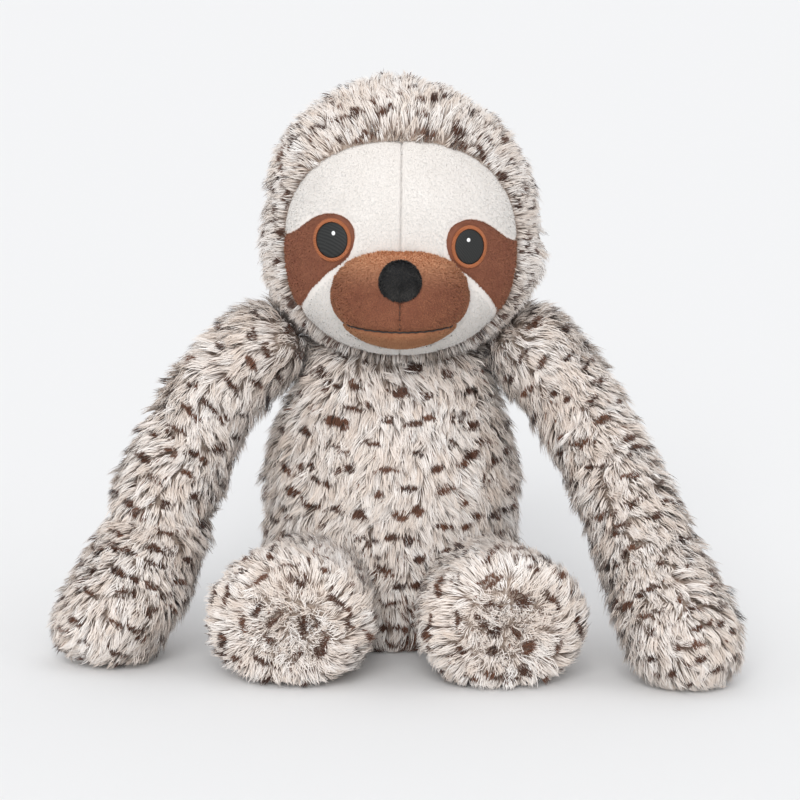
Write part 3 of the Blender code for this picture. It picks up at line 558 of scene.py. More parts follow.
def leg_lines(places, side):
    """The leg's axis, and how each place lies off it."""
    axis = np.array([side * math.sin(LEG_SPLAY), -math.cos(LEG_SPLAY), 0])
    off = places - np.array(joint_place["left_leg_lift" if side > 0 else "right_leg_lift"])
    return axis, off - (off @ axis)[:, None] * axis


def comb_leg(places, normals, side):
    """Outwards from the middle of the sole, and back along the leg's sides."""
    axis, radial = leg_lines(places, side)
    spin = np.cross(axis, radial)
    facing = np.clip(normals @ axis, 0, 1)[:, None]
    comb = unit(radial) * (0.4 + facing) + 0.35 * unit(spin) - 0.25 * axis * (1 - facing)
    return comb, np.full(len(places), 0.72)


OTHERS = {"torso": ("head", "left_arm", "right_arm", "left_leg", "right_leg"),
          "head": ("torso",), "left_arm": ("torso", "head"), "right_arm": ("torso", "head"),
          "left_leg": ("torso",), "right_leg": ("torso",)}
fields = {}
for name, skin in stuffed.items():
    places, normals = points_of(skin), normals_of(skin)
    side = 1 if name.startswith("left") else -1
    if name == "torso":
        comb, length = comb_torso(places)
    elif name == "head":
        comb, length = comb_head(places)
    elif name.endswith("arm"):
        comb, length = comb_arm(places, name.removesuffix("_arm"))
    else:
        comb, length = comb_leg(places, normals, side)
    gap = room(places, OTHERS[name])
    keep = (gap > 3 * MM).astype(float)
    if name == "head":
        bare = (face_share(places) < 0.95) & (places[:, 1] < -0.02) & (normals[:, 1] < 0.1)
        keep[bare] = 0
    length = length * np.clip(0.35 + gap / (12 * MM), 0.35, 1)
    under = np.clip((places[:, 2] - 1 * MM) / (8 * MM), 0.25, 1)
    length = length * np.where(normals[:, 2] < -0.3, under, 1)
    lean, wild = np.ones(len(places)), np.full(len(places), 0.12)
    # Painted shade: more fibres are dyed dark where another form comes close, where shade falls
    # between them.
    dark = 0.3 * np.clip(1 - (gap - 4 * MM) / (12 * MM), 0, 1)
    if name == "torso":
        # Painted shade: many more fibres are dyed dark low on the torso, most in front between
        # the feet.
        in_front = np.clip(0.4 - places[:, 1] / (30 * MM), 0.25, 1)
        dark += 1.2 * np.clip(1 - places[:, 2] / (62 * MM), 0, 1) * in_front
    elif name == "head":
        edge = (face_share(places) - 1) * FACE_SPREAD
        upright = np.clip(0.1 + edge / (12 * MM), -0.3, 1)
        at_side = np.clip(np.abs(places[:, 0]) / (40 * MM) - 0.5, 0, 1) * 0.5
        lean = np.where(places[:, 1] < -0.01, np.minimum(upright + at_side, 1), 1)
        dark += 0.06
    elif name.endswith("arm"):
        # Painted shade: more fibres are dyed dark on the inner side of each arm, rising towards
        # the armpit.
        inner = np.clip(-side * normals[:, 0] - 0.2, 0, 1)
        dark += 0.3 * inner * np.clip((places[:, 2] - 20 * MM) / (60 * MM), 0, 1)
    else:
        axis, radial = leg_lines(places, side)
        radial = np.linalg.norm(radial, axis=1)
        middle = (normals @ axis > 0.5) * np.clip(1 - radial / (24 * MM), 0, 1)
        lean, wild = 1 - 0.45 * middle, 0.12 + 1.7 * middle
        dark += 0.22 * middle
    fields[name] = {"comb": comb, **{key: values[:, None] for key, values in (
        ("length", length), ("keep", keep), ("lean", lean), ("wild", wild), ("dark", dark))}}
    print(name, "pile covers", round(float(keep.mean()), 2), "of the skin")

# %% [markdown]
# ## One fibre
# A fibre is a thin strip of three lengths that narrows to a point. It is modelled once, in
# edit mode, and every fibre of the toy is a copy of it, bent along its own path. A strip has
# only five triangles, so hundreds of thousands of them still render and export.

# %% The fibre


def select_tip(obj, mode):
    """In edit mode, select only what lies at the strip's far end."""
    bpy.ops.mesh.select_mode(type=mode)
    bpy.ops.mesh.select_all(action="DESELECT")
    shape = bmesh.from_edit_mesh(obj.data)
    top = max(v.co.y for v in shape.verts)
    for part in (shape.edges if mode == "EDGE" else shape.verts):
        ends = part.verts if mode == "EDGE" else [part]
        if all(abs(v.co.y - top) < 1e-5 for v in ends):
            part.select_set(True)
    bmesh.update_edit_mesh(obj.data)


deselect()
bpy.ops.mesh.primitive_plane_add(size=1, location=(0, 0, 0))
fibre = bpy.context.object
fibre.name = "one_fibre"
bpy.ops.object.mode_set(mode="EDIT")
for level in range(2):
    select_tip(fibre, "EDGE")
    bpy.ops.mesh.extrude_region_move(TRANSFORM_OT_translate={"value": (0, 1, 0)})
select_tip(fibre, "VERT")
bpy.ops.mesh.merge(type="CENTER")
bpy.ops.object.mode_set(mode="OBJECT")
fibre_points = points_of(fibre)
fibre_across = fibre_points[:, 0]
fibre_level = np.round(fibre_points[:, 1] + 0.5).astype(int)
fibre_faces = [list(p.vertices) for p in fibre.data.polygons]
bpy.data.objects.remove(fibre)
print("one fibre:", len(fibre_points), "points,", len(fibre_faces), "faces, levels",
      sorted(set(fibre_level.tolist())))

# %% [markdown]
# ## Growing the pile
# Stray bands of dye are added too, and where the pile is marked dark they are painted shade.
# Roots are spread evenly over a skin. Each fibre rises from its root, bends over in the
# combing direction, and leans towards the nearest of a few leading fibres, which gathers the
# pile into the soft locks that acrylic pile forms. The finished pile is printed with short
# dark dashes that lie across it, so a dash dyes the part of each fibre that it crosses.

# %% Roots, locks and dashes


def spread_roots(skin, field, per_area, rng):
    """Even random places on a skin, with what the field says there."""
    skin.data.calc_loop_triangles()
    corners = np.empty(len(skin.data.loop_triangles) * 3, np.int32)
    skin.data.loop_triangles.foreach_get("vertices", corners)
    corners = corners.reshape(-1, 3)
    places, normals = points_of(skin), normals_of(skin)
    a, b, c = (places[corners[:, k]] for k in range(3))
    area = 0.5 * np.linalg.norm(np.cross(b - a, c - a), axis=1)
    weight = area * (field["keep"][corners, 0].min(1) > 0.5)
    total = weight.sum()
    count = int(total * per_area)
    steps = (np.arange(count) + rng.random(count)) / count * total
    chosen = corners[np.minimum(np.searchsorted(np.cumsum(weight), steps), len(corners) - 1)]
    u, v = rng.random((2, count, 1))
    flip = u + v > 1
    u, v = np.where(flip, 1 - u, u), np.where(flip, 1 - v, v)

    def at(values):
        return (values[chosen[:, 0]] * (1 - u - v) + values[chosen[:, 1]] * u
                + values[chosen[:, 2]] * v)

    normal = unit(at(normals))
    return at(places), normal, laid(at(field["comb"]), normal), at(field["length"])[:, 0], *(
        at(field[key]) for key in ("lean", "wild", "dark"))


def bent_paths(root, normal, comb, length, angles):
    """Root, two bends and tip of each fibre, which leans further over at each step."""
    path = [root - normal * 0.4 * MM]
    for k, share in enumerate((0.34, 0.34, 0.32)):
        lean = angles[:, k:k + 1]
        step = normal * np.cos(lean) + comb * np.sin(lean)
        path.append(path[-1] + step * length[:, None] * share)
    path = np.stack(path, 1)
    path[:, 1:, 2] = np.maximum(path[:, 1:, 2], CLEAR)
    return path


def search_tree(places):
    tree = kdtree.KDTree(len(places))
    for i, place in enumerate(places):
        tree.insert(place, i)
    tree.balance()
    return tree


def nearest(points, targets):
    """Index of the nearest target for each point."""
    tree = search_tree(targets)
    return np.array([tree.find(p)[1] for p in points])


def printed_dashes(path, normal, comb, own, dark, rng, across_gap, along_gap):
    """Where on each fibre a printed dash begins and ends, as shares of its length, and how
    strongly it took the dye. Each lock takes it a little higher or lower than the next.
    Stray bands of dye are added as well, many more and wider where dark is high: there they
    are painted shade, between forms, inside the arms and low on the torso's front."""
    middle = path[:, 2]
    side = np.cross(normal, comb)
    kept = []
    for i in rng.permutation(len(middle))[:6000]:
        if kept:
            off = middle[kept] - middle[i]
            far = (off @ side[i] / across_gap) ** 2 + (off @ comb[i] / along_gap) ** 2 \
                + (off @ normal[i] / 0.02) ** 2
            if far.min() < 1:
                continue
        kept.append(i)
    tree = search_tree(middle)
    shares = np.linspace(0.3, 1, 15)
    knots = np.linspace(0, 1, 4)
    weights = np.stack([np.interp(shares, knots, row) for row in np.eye(4)], 1)
    uneven = rng.normal(0, 0.2, len(middle)) + rng.normal(0, 0.32, own.max() + 1)[own]
    slip = rng.normal(0, 0.9 * MM, own.max() + 1)[own] + rng.normal(0, 0.35 * MM, len(middle))
    took = rng.uniform(0.6, 1, own.max() + 1)[own] * rng.uniform(0.8, 1, len(middle))
    begin, end = np.full(len(middle), 2.0), np.full(len(middle), 2.0)
    strength = np.zeros(len(middle))
    for i in kept:
        for mark in range(rng.choice([1, 2, 3], p=[0.5, 0.35, 0.15])):
            half_across = rng.uniform(2.2, 6.8) * MM
            half_along = rng.uniform(1.3, 2.7) * MM
            dye = rng.choice([1.0, 0.85, 0.6], p=[0.6, 0.25, 0.15])
            across, along = rng.uniform(-7, 7) * MM * (mark > 0), rng.normal(0, 1.3) * MM
            near = np.array([found[1] for found in tree.find_range(middle[i], 17 * MM)])
            off = np.einsum("sk,nkc->nsc", weights, path[near]) - middle[i]
            inside = ((off @ side[i] - across) / half_across) ** 2 \
                + ((off @ comb[i] - along + slip[near, None]) / half_along) ** 2 \
                + (off @ normal[i] / (14 * MM)) ** 2 + uneven[near, None] < 1
            hit = inside.any(1)
            begin[near[hit]] = shares[inside[hit].argmax(1)]
            end[near[hit]] = shares[len(shares) - 1 - inside[hit][:, ::-1].argmax(1)]
            strength[near[hit]] = dye * took[near[hit]]
    # Stray dyed bands: a few everywhere, and many more and wider where dark is high, which is
    # painted shade.
    stray = np.flatnonzero((strength == 0) & (rng.random(len(middle)) < 0.04 + dark))
    wide = np.clip(dark[stray] - 0.3, 0, 0.5)
    begin[stray] = rng.uniform(0.4, 0.8, len(stray)) - 0.5 * wide
    end[stray] = begin[stray] + rng.uniform(0.1, 0.3, len(stray)) + wide
    strength[stray] = rng.uniform(0.1, 0.9, len(stray))
    return begin, end, strength, len(kept)


def write_facts(mesh, name, facts):
    layer = mesh.attributes.new(name, "FLOAT_VECTOR", "POINT")
    layer.data.foreach_set("vector", facts.astype(np.float32).ravel())


def fibres_mesh(name, path, width, normal, tone, twist, begin=None, end=None, strength=None):
    """Copies of the one fibre along these paths, with the attributes that their dye needs."""
    count, corners = len(path), len(fibre_points)
    run = unit(path[:, 3] - path[:, 0])
    flat = unit(np.cross(run, normal))
    up = np.cross(flat, run)
    flat = flat * np.cos(twist)[:, None] + up * np.sin(twist)[:, None]
    taper = np.array([0.8, 1.0, 0.85, 0])[fibre_level]
    spread = flat[:, None] * (fibre_across * taper)[None, :, None] * width[:, None, None]
    places = path[:, fibre_level] + spread
    places[..., 2] = np.maximum(places[..., 2], 0.2 * MM)
    mesh = bpy.data.meshes.new(name)
    mesh.vertices.add(count * corners)
    mesh.vertices.foreach_set("co", places.astype(np.float32).ravel())
    one = np.concatenate(fibre_faces)
    loops = (one[None] + np.arange(count)[:, None] * corners).ravel()
    sizes = np.array([len(f) for f in fibre_faces])
    starts = np.concatenate([[0], np.cumsum(sizes)[:-1]])
    starts = (starts[None] + np.arange(count)[:, None] * len(one)).ravel()
    mesh.loops.add(len(loops))
    mesh.loops.foreach_set("vertex_index", loops.astype(np.int32))
    mesh.polygons.add(len(starts))
    mesh.polygons.foreach_set("loop_start", starts.astype(np.int32))
    mesh.polygons.foreach_set("use_smooth", np.ones(len(starts), bool))
    mesh.update(calc_edges=True)
    facts = np.empty((count, corners, 3))
    facts[..., 0] = fibre_level / 3
    facts[..., 1] = 0
    facts[..., 2] = tone[:, None]
    write_facts(mesh, "fibre", facts)
    if begin is None:
        begin = end = np.full(count, 2.0)
    else:
        facts[..., 0], facts[..., 1] = begin[:, None], end[:, None]
        facts[..., 2] = strength[:, None]
        write_facts(mesh, "dash", facts)
    columns = math.ceil(math.sqrt(count))
    rank = np.empty(count, int)
    rank[np.lexsort((tone, np.round(begin, 1)))] = np.arange(count)
    rows = math.ceil(count / columns)
    u = (rank[:, None] % columns + 0.5 + 0.7 * fibre_across[None]) / columns
    v = (rank[:, None] // columns + 0.1 + 0.8 * fibre_level[None] / 3) / rows
    grid = np.stack([u, v], 2).reshape(-1, 2)[loops]
    mesh.uv_layers.new(name="OFBake").data.foreach_set("uv", grid.astype(np.float32).ravel())
    shade = unit(0.3 * np.cross(flat, run) + 0.9 * normal)
    mesh.normals_split_custom_set_from_vertices(
        np.repeat(shade, corners, axis=0).astype(np.float32))
    return linked(name, mesh)

# %% [markdown]
# ## The long-pile finish
# The pile is dyed acrylic fibre with a satin gleam: cream tips, and browner towards the roots,
# which is painted shade where little light comes, and a reddish to a dark brown where a dash is
# printed or a stray band is dyed, partly painted shade. Attributes on the fibres say how far
# along a point is, how pale its fibre is and where a dash lies.

# %% The pile's material


def pile_material(name, root_shade_hex, low_hex, high_hex, dye_weak, dye_strong):
    made, shader = new_material(name, 0.55, Sheen_Weight=0.25, Specular_IOR_Level=0.3)
    facts = node(made, "ShaderNodeAttribute", attribute_name="fibre")
    split = node(made, "ShaderNodeSeparateXYZ", {"Vector": facts.outputs["Vector"]})
    along, pale = split.outputs["X"], split.outputs["Z"]
    dash = node(made, "ShaderNodeAttribute", attribute_name="dash")
    ends = node(made, "ShaderNodeSeparateXYZ", {"Vector": dash.outputs["Vector"]})
    at = node(made, "ShaderNodeTexCoord").outputs["Object"]
    drift = node(made, "ShaderNodeTexNoise", {"Vector": at, "Scale": 55, "Detail": 3})
    patchy = node(made, "ShaderNodeMapRange", {"Value": drift.outputs["Fac"], "From Min": 0.32,
                                               "From Max": 0.6, "To Min": -0.35, "To Max": 0})
    tint = node(made, "ShaderNodeMath", {0: pale, 1: patchy.outputs["Result"]},
                operation="ADD", use_clamp=True)
    body = node(made, "ShaderNodeMix", {"Factor": tint.outputs["Value"], "A": linear(low_hex),
                                        "B": linear(high_hex)}, data_type="RGBA")
    # Painted shade: each fibre fades from the root colour to its own over the first 0.6 of its
    # length.
    rise = node(made, "ShaderNodeMapRange", {"Value": along, "From Min": 0.0,
                                             "From Max": 0.6}, interpolation_type="SMOOTHSTEP")
    shaded = node(made, "ShaderNodeMix", {"Factor": rise.outputs["Result"],
                                          "A": linear(root_shade_hex),
                                          "B": body.outputs["Result"]}, data_type="RGBA")
    dark = node(made, "ShaderNodeMix", {"Factor": ends.outputs["Z"], "A": linear(dye_weak),
                                        "B": linear(dye_strong)}, data_type="RGBA")
    past = node(made, "ShaderNodeMath", {0: along, 1: ends.outputs["X"]}, operation="SUBTRACT")
    left = node(made, "ShaderNodeMath", {0: ends.outputs["Y"], 1: along}, operation="SUBTRACT")
    least = node(made, "ShaderNodeMath", {0: past.outputs["Value"], 1: left.outputs["Value"]},
                 operation="MINIMUM")
    inside = node(made, "ShaderNodeMapRange", {"Value": least.outputs["Value"],
                                               "From Min": -0.06, "From Max": 0.02})
    colour = node(made, "ShaderNodeMix", {"Factor": inside.outputs["Result"],
                                          "A": shaded.outputs["Result"],
                                          "B": dark.outputs["Result"]}, data_type="RGBA")
    made.node_tree.links.new(colour.outputs["Result"], shader.inputs["Base Color"])
    return made


# Painted shade: the root colour #8A7060 darkens each fibre towards its root.
long_pile = pile_material("dyed_acrylic_long_pile_painted_shade", "#8A7060", "#E9DBCF", "#FFFCF9",
                          "#84573F", "#26110A")

# %% [markdown]
# ## Pile on every form
# A field of soft noise turns the combing a little from place to place, so that the locks
# swirl as brushed pile does. Real fibres are some ten times finer and denser. They are drawn
# coarser here, so that the pile stays closed with as many triangles as the part may have.

# %% Grow it
DENSITY = 1.45 / MM ** 2
LOCK = 19                   # fibres in a lock
THICK = 0.42 * MM
MOST = 38000

ANGLES = np.radians([32, 58, 80])


def grow(name, seed, body):
    rng = np.random.default_rng(seed)
    skin, field = stuffed[name], fields[name]
    root, normal, comb, length, lean, wild, dark = spread_roots(skin, field, DENSITY, rng)
    lead, lead_normal, lead_comb, lead_length, lead_lean, lead_wild, _ = spread_roots(
        skin, field, DENSITY / LOCK, rng)
    turn = np.array([noise.noise(Vector(p) * 45) for p in lead]) * 1.1
    turn += rng.normal(0, 1, len(lead)) * (0.15 + 1.2 * lead_wild[:, 0])
    lead_comb = lead_comb * np.cos(turn)[:, None] \
        + np.cross(lead_normal, lead_comb) * np.sin(turn)[:, None]
    lift = rng.normal(0, 0.16, (len(lead), 1))
    lead_length = FUR * lead_length * rng.normal(1, 0.13, len(lead)).clip(0.65, 1.3)
    lead_path = bent_paths(lead, lead_normal, lead_comb, lead_length,
                           ANGLES * lead_lean + lift)
    own = nearest(root, lead)
    bound = rng.uniform(0.45, 1, len(lead))[own][:, None, None]
    way = unit(0.35 * comb + 0.65 * lead_comb[own] + rng.normal(0, 1, root.shape) * wild)
    way = laid(way, normal)
    own_length = FUR * length * rng.normal(1, 0.1, len(root)).clip(0.6, 1.3)
    path = bent_paths(root, normal, way, own_length,
                      ANGLES * lean + lift[own] + rng.normal(0, 0.1, (len(root), 1)))
    pull = np.array([0, 0.12, 0.38, 0.62])[None, :, None] * bound
    path = path * (1 - pull) + lead_path[own] * pull
    path[:, 3] += rng.normal(0, 0.5 * MM, root.shape)
    path[:, 1:, 2] = np.maximum(path[:, 1:, 2], CLEAR)
    begin, end, strength, dashes = printed_dashes(path, normal, comb, own, dark[:, 0], rng,
                                                  14 * MM, 9.5 * MM)
    tone = rng.random(len(lead))[own] * 0.6 + rng.random(len(root)) * 0.4
    width = THICK * rng.uniform(0.7, 1.25, len(root))
    twist = rng.uniform(-0.9, 0.9, len(root))
    order = np.argsort(root[:, 1] if name in ("torso", "head") else root[:, 2])
    parts = np.array_split(order, math.ceil(len(order) / MOST))
    for number, part in enumerate(parts, 1):
        piece = fibres_mesh(f"{name}_pile_{number}", path[part], width[part], normal[part],
                            tone[part], twist[part], begin[part], end[part], strength[part])
        dress(piece, long_pile, body, "spotted_fur")
    print(name, len(root), "fibres,", len(lead), "locks,", dashes, "dashes,",
          len(parts), "pieces")


for seed, name in enumerate(FORMS, 11):
    grow(name, seed, FORMS[name][0])

# %% [markdown]
# ## The face
# The face is two halves of white short-pile cloth with a seam between them, and a brown patch
# let in under each eye. A grid is bent to each outline, laid on the head by casting rays from
# in front, and then raised, with its edge turned under and a valley along every seam.

# %% Laying cloth on the head
PATCH_OUTLINE = ((-1.06, .52), (-1.09, .70), (-1.00, .90), (-.78, 1.04), (-.42, 1.10),
                 (-.02, 1.04), (.32, .89), (.66, .69), (1.30, .30), (1.40, -1.00),
                 (.92, -1.16), (.44, -.76), (.21, -.49), (-.06, -.27), (-.35, -.06),
                 (-.64, .09), (-.92, .29))
PATCH_HALF = (16.5 * MM, 24.5 * MM)
PATCH_MIDDLE = {"left": (39.27 * MM, 190.38 * MM), "right": (-39.27 * MM, 192.48 * MM)}
EYE_MIDDLE = {"left": (31.9 * MM, 204.2 * MM), "right": (-31.8 * MM, 206.7 * MM)}
EYE_HALF = {"left": (6.6 * MM, 8.4 * MM), "right": (7.2 * MM, 8.3 * MM)}
EYE_TILT = {"left": math.radians(7), "right": math.radians(-10)}
RING = 1.7 * MM
FACE_LIFT = 1.3 * MM
HEAD_FORM = (trees["head"], stuffed["head"].data)


def on_skin(form, x, z):
    """Places and smooth normals of a form's front, straight behind these places."""
    tree, mesh = form
    places, normals = [], []
    for a, b in zip(x, z):
        at, _, face, _ = tree.ray_cast(Vector((a, -0.3, b)), Vector((0, 1, 0)))
        if at is None:
            at, _, face, _ = tree.find_nearest(Vector((a, -0.06, b)))
        normal = Vector((0, 0, 0))
        for corner in mesh.polygons[face].vertices:
            vert = mesh.vertices[corner]
            normal += vert.normal / ((vert.co - at).length + 1e-5) ** 2
        places.append(at)
        normals.append(normal.normalized())
    return np.array(places), np.array(normals)


def round_off(points, per_side=8):
    """A closed smooth curve through these points."""
    points = np.array(points)
    before, after = np.roll(points, 1, 0), np.roll(points, -1, 0)
    beyond = np.roll(points, -2, 0)
    t = (np.arange(per_side) / per_side)[None, :, None]
    a, b, c, d = (q[:, None] for q in (before, points, after, beyond))
    curve = 0.5 * (2 * b + (c - a) * t + (2 * a - 5 * b + 4 * c - d) * t ** 2
                   + (3 * b - a - 3 * c + d) * t ** 3)
    return curve.reshape(-1, 2)


def patch_pole(word, side):
    """A place inside the patch from which all of its outline can be seen."""
    return np.array(PATCH_MIDDLE[word]) + [side * 3 * MM, 5 * MM]


def patch_curve(word, side):
    """The brown patch's outline in front view, which stops at the face's own outline."""
    middle = np.array(PATCH_MIDDLE[word])
    curve = round_off(PATCH_OUTLINE) * PATCH_HALF * [side, 1] + middle
    flat = np.stack([curve[:, 0], 0 * curve[:, 0], curve[:, 1]], 1)
    over = np.maximum(face_share(flat) / IN_FACE, 1)[:, None]
    curve = FACE_MIDDLE + (curve - FACE_MIDDLE) / over
    off = curve - patch_pole(word, side)
    return curve[np.argsort(np.arctan2(off[:, 1], off[:, 0]))]


def off_curve(points, curve):
    """Distance from each point to a closed curve, less than 0 inside it."""
    a, b = curve, np.roll(curve, -1, 0)
    run = (b - a)[None]
    off = points[:, None] - a[None]
    t = np.clip((off * run).sum(2) / np.maximum((run ** 2).sum(2), 1e-12), 0, 1)
    far = np.linalg.norm(off - run * t[..., None], axis=2).min(1)
    y0, y1 = a[None, :, 1], b[None, :, 1]
    level = points[:, 1:2]
    cross = a[None, :, 0] + (level - y0) / np.where(y1 == y0, 1e-12, y1 - y0) * run[..., 0]
    inside = (((y0 > level) != (y1 > level)) & (points[:, :1] < cross)).sum(1) % 2 == 1
    return np.where(inside, -far, far)


def eased(x):
    x = np.clip(x, 0, 1)
    return x * x * (3 - 2 * x)


patches = {word: patch_curve(word, side) for word, side in WORDS}


def new_grid(name, across, along):
    deselect()
    bpy.ops.mesh.primitive_grid_add(x_subdivisions=across, y_subdivisions=along, size=2)
    made = bpy.context.object
    made.name = name
    made.data.name = name
    made.data.uv_layers.remove(made.data.uv_layers[0])
    return made, points_of(made)


def closed_up(piece):
    """Merge what has met, and turn every face to the front."""
    on_whole_mesh(piece, (bpy.ops.mesh.remove_doubles, {"threshold": 0.00002}),
                  (bpy.ops.mesh.normals_make_consistent, {"inside": False}))
    if normals_of(piece)[:, 1].mean() > 0:
        on_whole_mesh(piece, (bpy.ops.mesh.flip_normals, {}))


def thickened(piece, thickness):
    wall = piece.modifiers.new("cloth", "SOLIDIFY")
    wall.thickness = thickness
    wall.offset = -1
    apply_modifiers(piece)
    smooth_shaded(piece)


def face_half(word, side):
    piece, grid = new_grid(f"{word}_face", 44, 90)
    share = 0.5 * (1 - np.cos(math.pi * (grid[:, 0] + 1) / 2))
    up = np.sin(grid[:, 1] * math.pi / 2)
    power = np.where(up > 0, FACE_POWER, FACE_LOW_POWER)
    half = np.clip(1 - np.abs(up) ** power, 0, 1) ** (1 / power)
    x = side * FACE_HALF[0] * half * share
    z = FACE_MIDDLE[1] + np.where(up > 0, FACE_HALF[1], FACE_DOWN) * up
    places, normals = on_skin(HEAD_FORM, x, z)
    inner = (1 - face_share(places)) * FACE_SPREAD
    lift = -1.2 * MM + (FACE_LIFT + 1.2 * MM) * eased(inner / (2.2 * MM)) ** 0.6
    lift -= 0.9 * MM * np.exp(-(x / (0.55 * MM)) ** 2)
    patch = off_curve(np.stack([x, z], 1), patches[word])
    lift -= 0.8 * MM * np.where(patch < 0, 1, np.exp(-(patch / (1.1 * MM)) ** 2))
    set_points(piece, places + normals * lift[:, None])
    closed_up(piece)
    return piece


def disc(name, curve, middle, rings, lift_at):
    """Cloth or thread inside a closed curve in front view, raised from the head's front."""
    piece, grid = new_grid(name, len(curve), rings)
    turn = np.round((grid[:, 0] + 1) / 2 * len(curve)).astype(int) % len(curve)
    out = ((grid[:, 1] + 1) / 2)[:, None] ** 0.8
    flat = np.array(middle) + (curve[turn] - np.array(middle)) * out
    places, normals = on_skin(HEAD_FORM, flat[:, 0], flat[:, 1])
    lift = lift_at(out[:, 0], -off_curve(flat, curve))
    set_points(piece, places + normals * lift[:, None])
    closed_up(piece)
    return piece


faces = {word: face_half(word, side) for word, side in WORDS}
patch_pieces = {}
for word, side in WORDS:
    patch_pieces[word] = disc(
        f"{word}_patch", patches[word], patch_pole(word, side), 14,
        lambda out, deep: 0.2 * MM + 1.35 * MM * eased(deep / (2 * MM)) ** 0.6)
print("face", {p.name: len(p.data.polygons) for p in (*faces.values(), *patch_pieces.values())})

# %% [markdown]
# ## The muzzle
# The muzzle is a stuffed pad: an upper panel and a paler chin panel meet at the mouth, where
# the cover is drawn in, and a short seam runs from the nose to the mouth. It is fused and
# plumped as the other forms are, and cut along the mouth so that each panel has its own cloth.

# %% The muzzle pad
PAD_UP = 1.1 * MM           # the stuffed pad sits a little higher than its solid
MOUTH = 165.64 * MM + PAD_UP
MOUTH_HALF = 29.2 * MM
MUZZLE_MIDDLE = 179.2 * MM + PAD_UP
MUZZLE_HALF = (33 * MM, 25.6 * MM)
MUZZLE_POWER = 2.15
PAD_SLICES = 28
NOSE_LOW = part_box("nose")[0].z


def smile(x):
    """How far the mouth rises above its height, at this place across."""
    return 1.4 * MM * ((x / MOUTH_HALF) ** 2 - 0.4)


muzzle = fused("muzzle", ["muzzle_upper_panel", "chin_panel", "muzzle_filling"], 1.6 * MM, 10)
muzzle = plumped(muzzle, 2, 0.8 * MM)


def rounded_outline(pad):
    """Give the pad an even oval outline in front view, drawn in or out at each height."""
    places = points_of(pad)
    places[:, 2] += PAD_UP
    z = places[:, 2]
    slices, middles = sliced(z, PAD_SLICES)
    wide = np.array([np.abs(places[slices == k, 0]).max() for k in range(PAD_SLICES)])
    off = np.clip(np.abs(middles - MUZZLE_MIDDLE) / MUZZLE_HALF[1], 0, 0.985)
    wanted = MUZZLE_HALF[0] * (1 - off ** MUZZLE_POWER) ** (1 / MUZZLE_POWER)
    places[:, 0] *= np.interp(z, middles, np.clip(wanted / wide, 0.75, 1.35))
    set_points(pad, places)


rounded_outline(muzzle)
on_whole_mesh(muzzle, (bpy.ops.mesh.bisect, {"plane_co": (0, 0, MOUTH), "plane_no": (0, 0, 1)}))
places, normals = points_of(muzzle), normals_of(muzzle)
chin_faces = [p.index for p in muzzle.data.polygons if p.center.z < MOUTH]
front = eased((0.03 - places[:, 1] - 0.06) / 0.02)[:, None]
mouth = np.exp(-((places[:, 2] - MOUTH) / (1.5 * MM)) ** 2)[:, None] * front
philtrum = np.exp(-(places[:, 0] / (1.2 * MM)) ** 2)[:, None] * front \
    * eased((places[:, 2:] - MOUTH) / (1.5 * MM)) \
    * eased((NOSE_LOW + 5 * MM - places[:, 2:]) / (4 * MM))
places = places - normals * (1.7 * MM * mouth + 1.5 * MM * philtrum)
near = np.exp(-((places[:, 2] - MOUTH) / (8 * MM)) ** 2)
places[:, 2] += near * smile(places[:, 0])
set_points(muzzle, places)
smooth_shaded(muzzle)
print("muzzle", len(muzzle.data.polygons), "faces,", len(chin_faces), "of them on the chin")

# %% [markdown]
# ## Nose and eyes
# The nose is a small rounded pad with black flock on it. The eyes are satin stitched in black
# thread with a rust-coloured ring round them and one white stitch for the glint. The ring is
# one stitch, modelled once and copied round the eye, as an embroidery machine lays them.

# %% The nose and the stitches
nose = fused("nose_pad", ["nose"], 0.9 * MM, 6)
places = points_of(nose)
centre = places.mean(0)
set_points(nose, centre + (places - centre) * [0.95, 1, 1.04])
smooth_shaded(nose)

deselect()
bpy.ops.mesh.primitive_cylinder_add(vertices=7, radius=0.5, depth=0.7, location=(0, 0, 0),
                                    rotation=(0, math.pi / 2, 0))
stitch = bpy.context.object
stitch.name = "one_stitch"
bpy.ops.object.transform_apply(location=False, rotation=True, scale=False)
for end in (-1, 1):
    bpy.ops.object.mode_set(mode="EDIT")
    bpy.ops.mesh.select_mode(type="FACE")
    bpy.ops.mesh.select_all(action="DESELECT")
    shape = bmesh.from_edit_mesh(stitch.data)
    for face in shape.faces:
        if face.normal.x * end > 0.9:
            face.select_set(True)
    bmesh.update_edit_mesh(stitch.data)
    bpy.ops.mesh.extrude_region_move(TRANSFORM_OT_translate={"value": (0.15 * end, 0, 0)})
    bpy.ops.transform.resize(value=(1, 0.45, 0.45), center_override=(0.5 * end, 0, 0))
    bpy.ops.object.mode_set(mode="OBJECT")
stitch_points = points_of(stitch)
stitch_faces = [list(p.vertices) for p in stitch.data.polygons]
bpy.data.objects.remove(stitch)


def stitches(name, middles, along, up, length, thick):
    """Copies of the one stitch, each at its place, along its own direction."""
    along = unit(along)
    across = unit(np.cross(up, along))
    up = np.cross(along, across)
    places = middles[:, None] + stitch_points[None, :, :1] * along[:, None] * length \
        + (stitch_points[None, :, 1:2] * across[:, None]
           + stitch_points[None, :, 2:] * up[:, None]) * thick
    faces = [[i + n * len(stitch_points) for i in face]
             for n in range(len(middles)) for face in stitch_faces]
    mesh = bpy.data.meshes.new(name)
    mesh.from_pydata(places.reshape(-1, 3).tolist(), [], faces)
    made = linked(name, mesh)
    smooth_shaded(made)
    return made


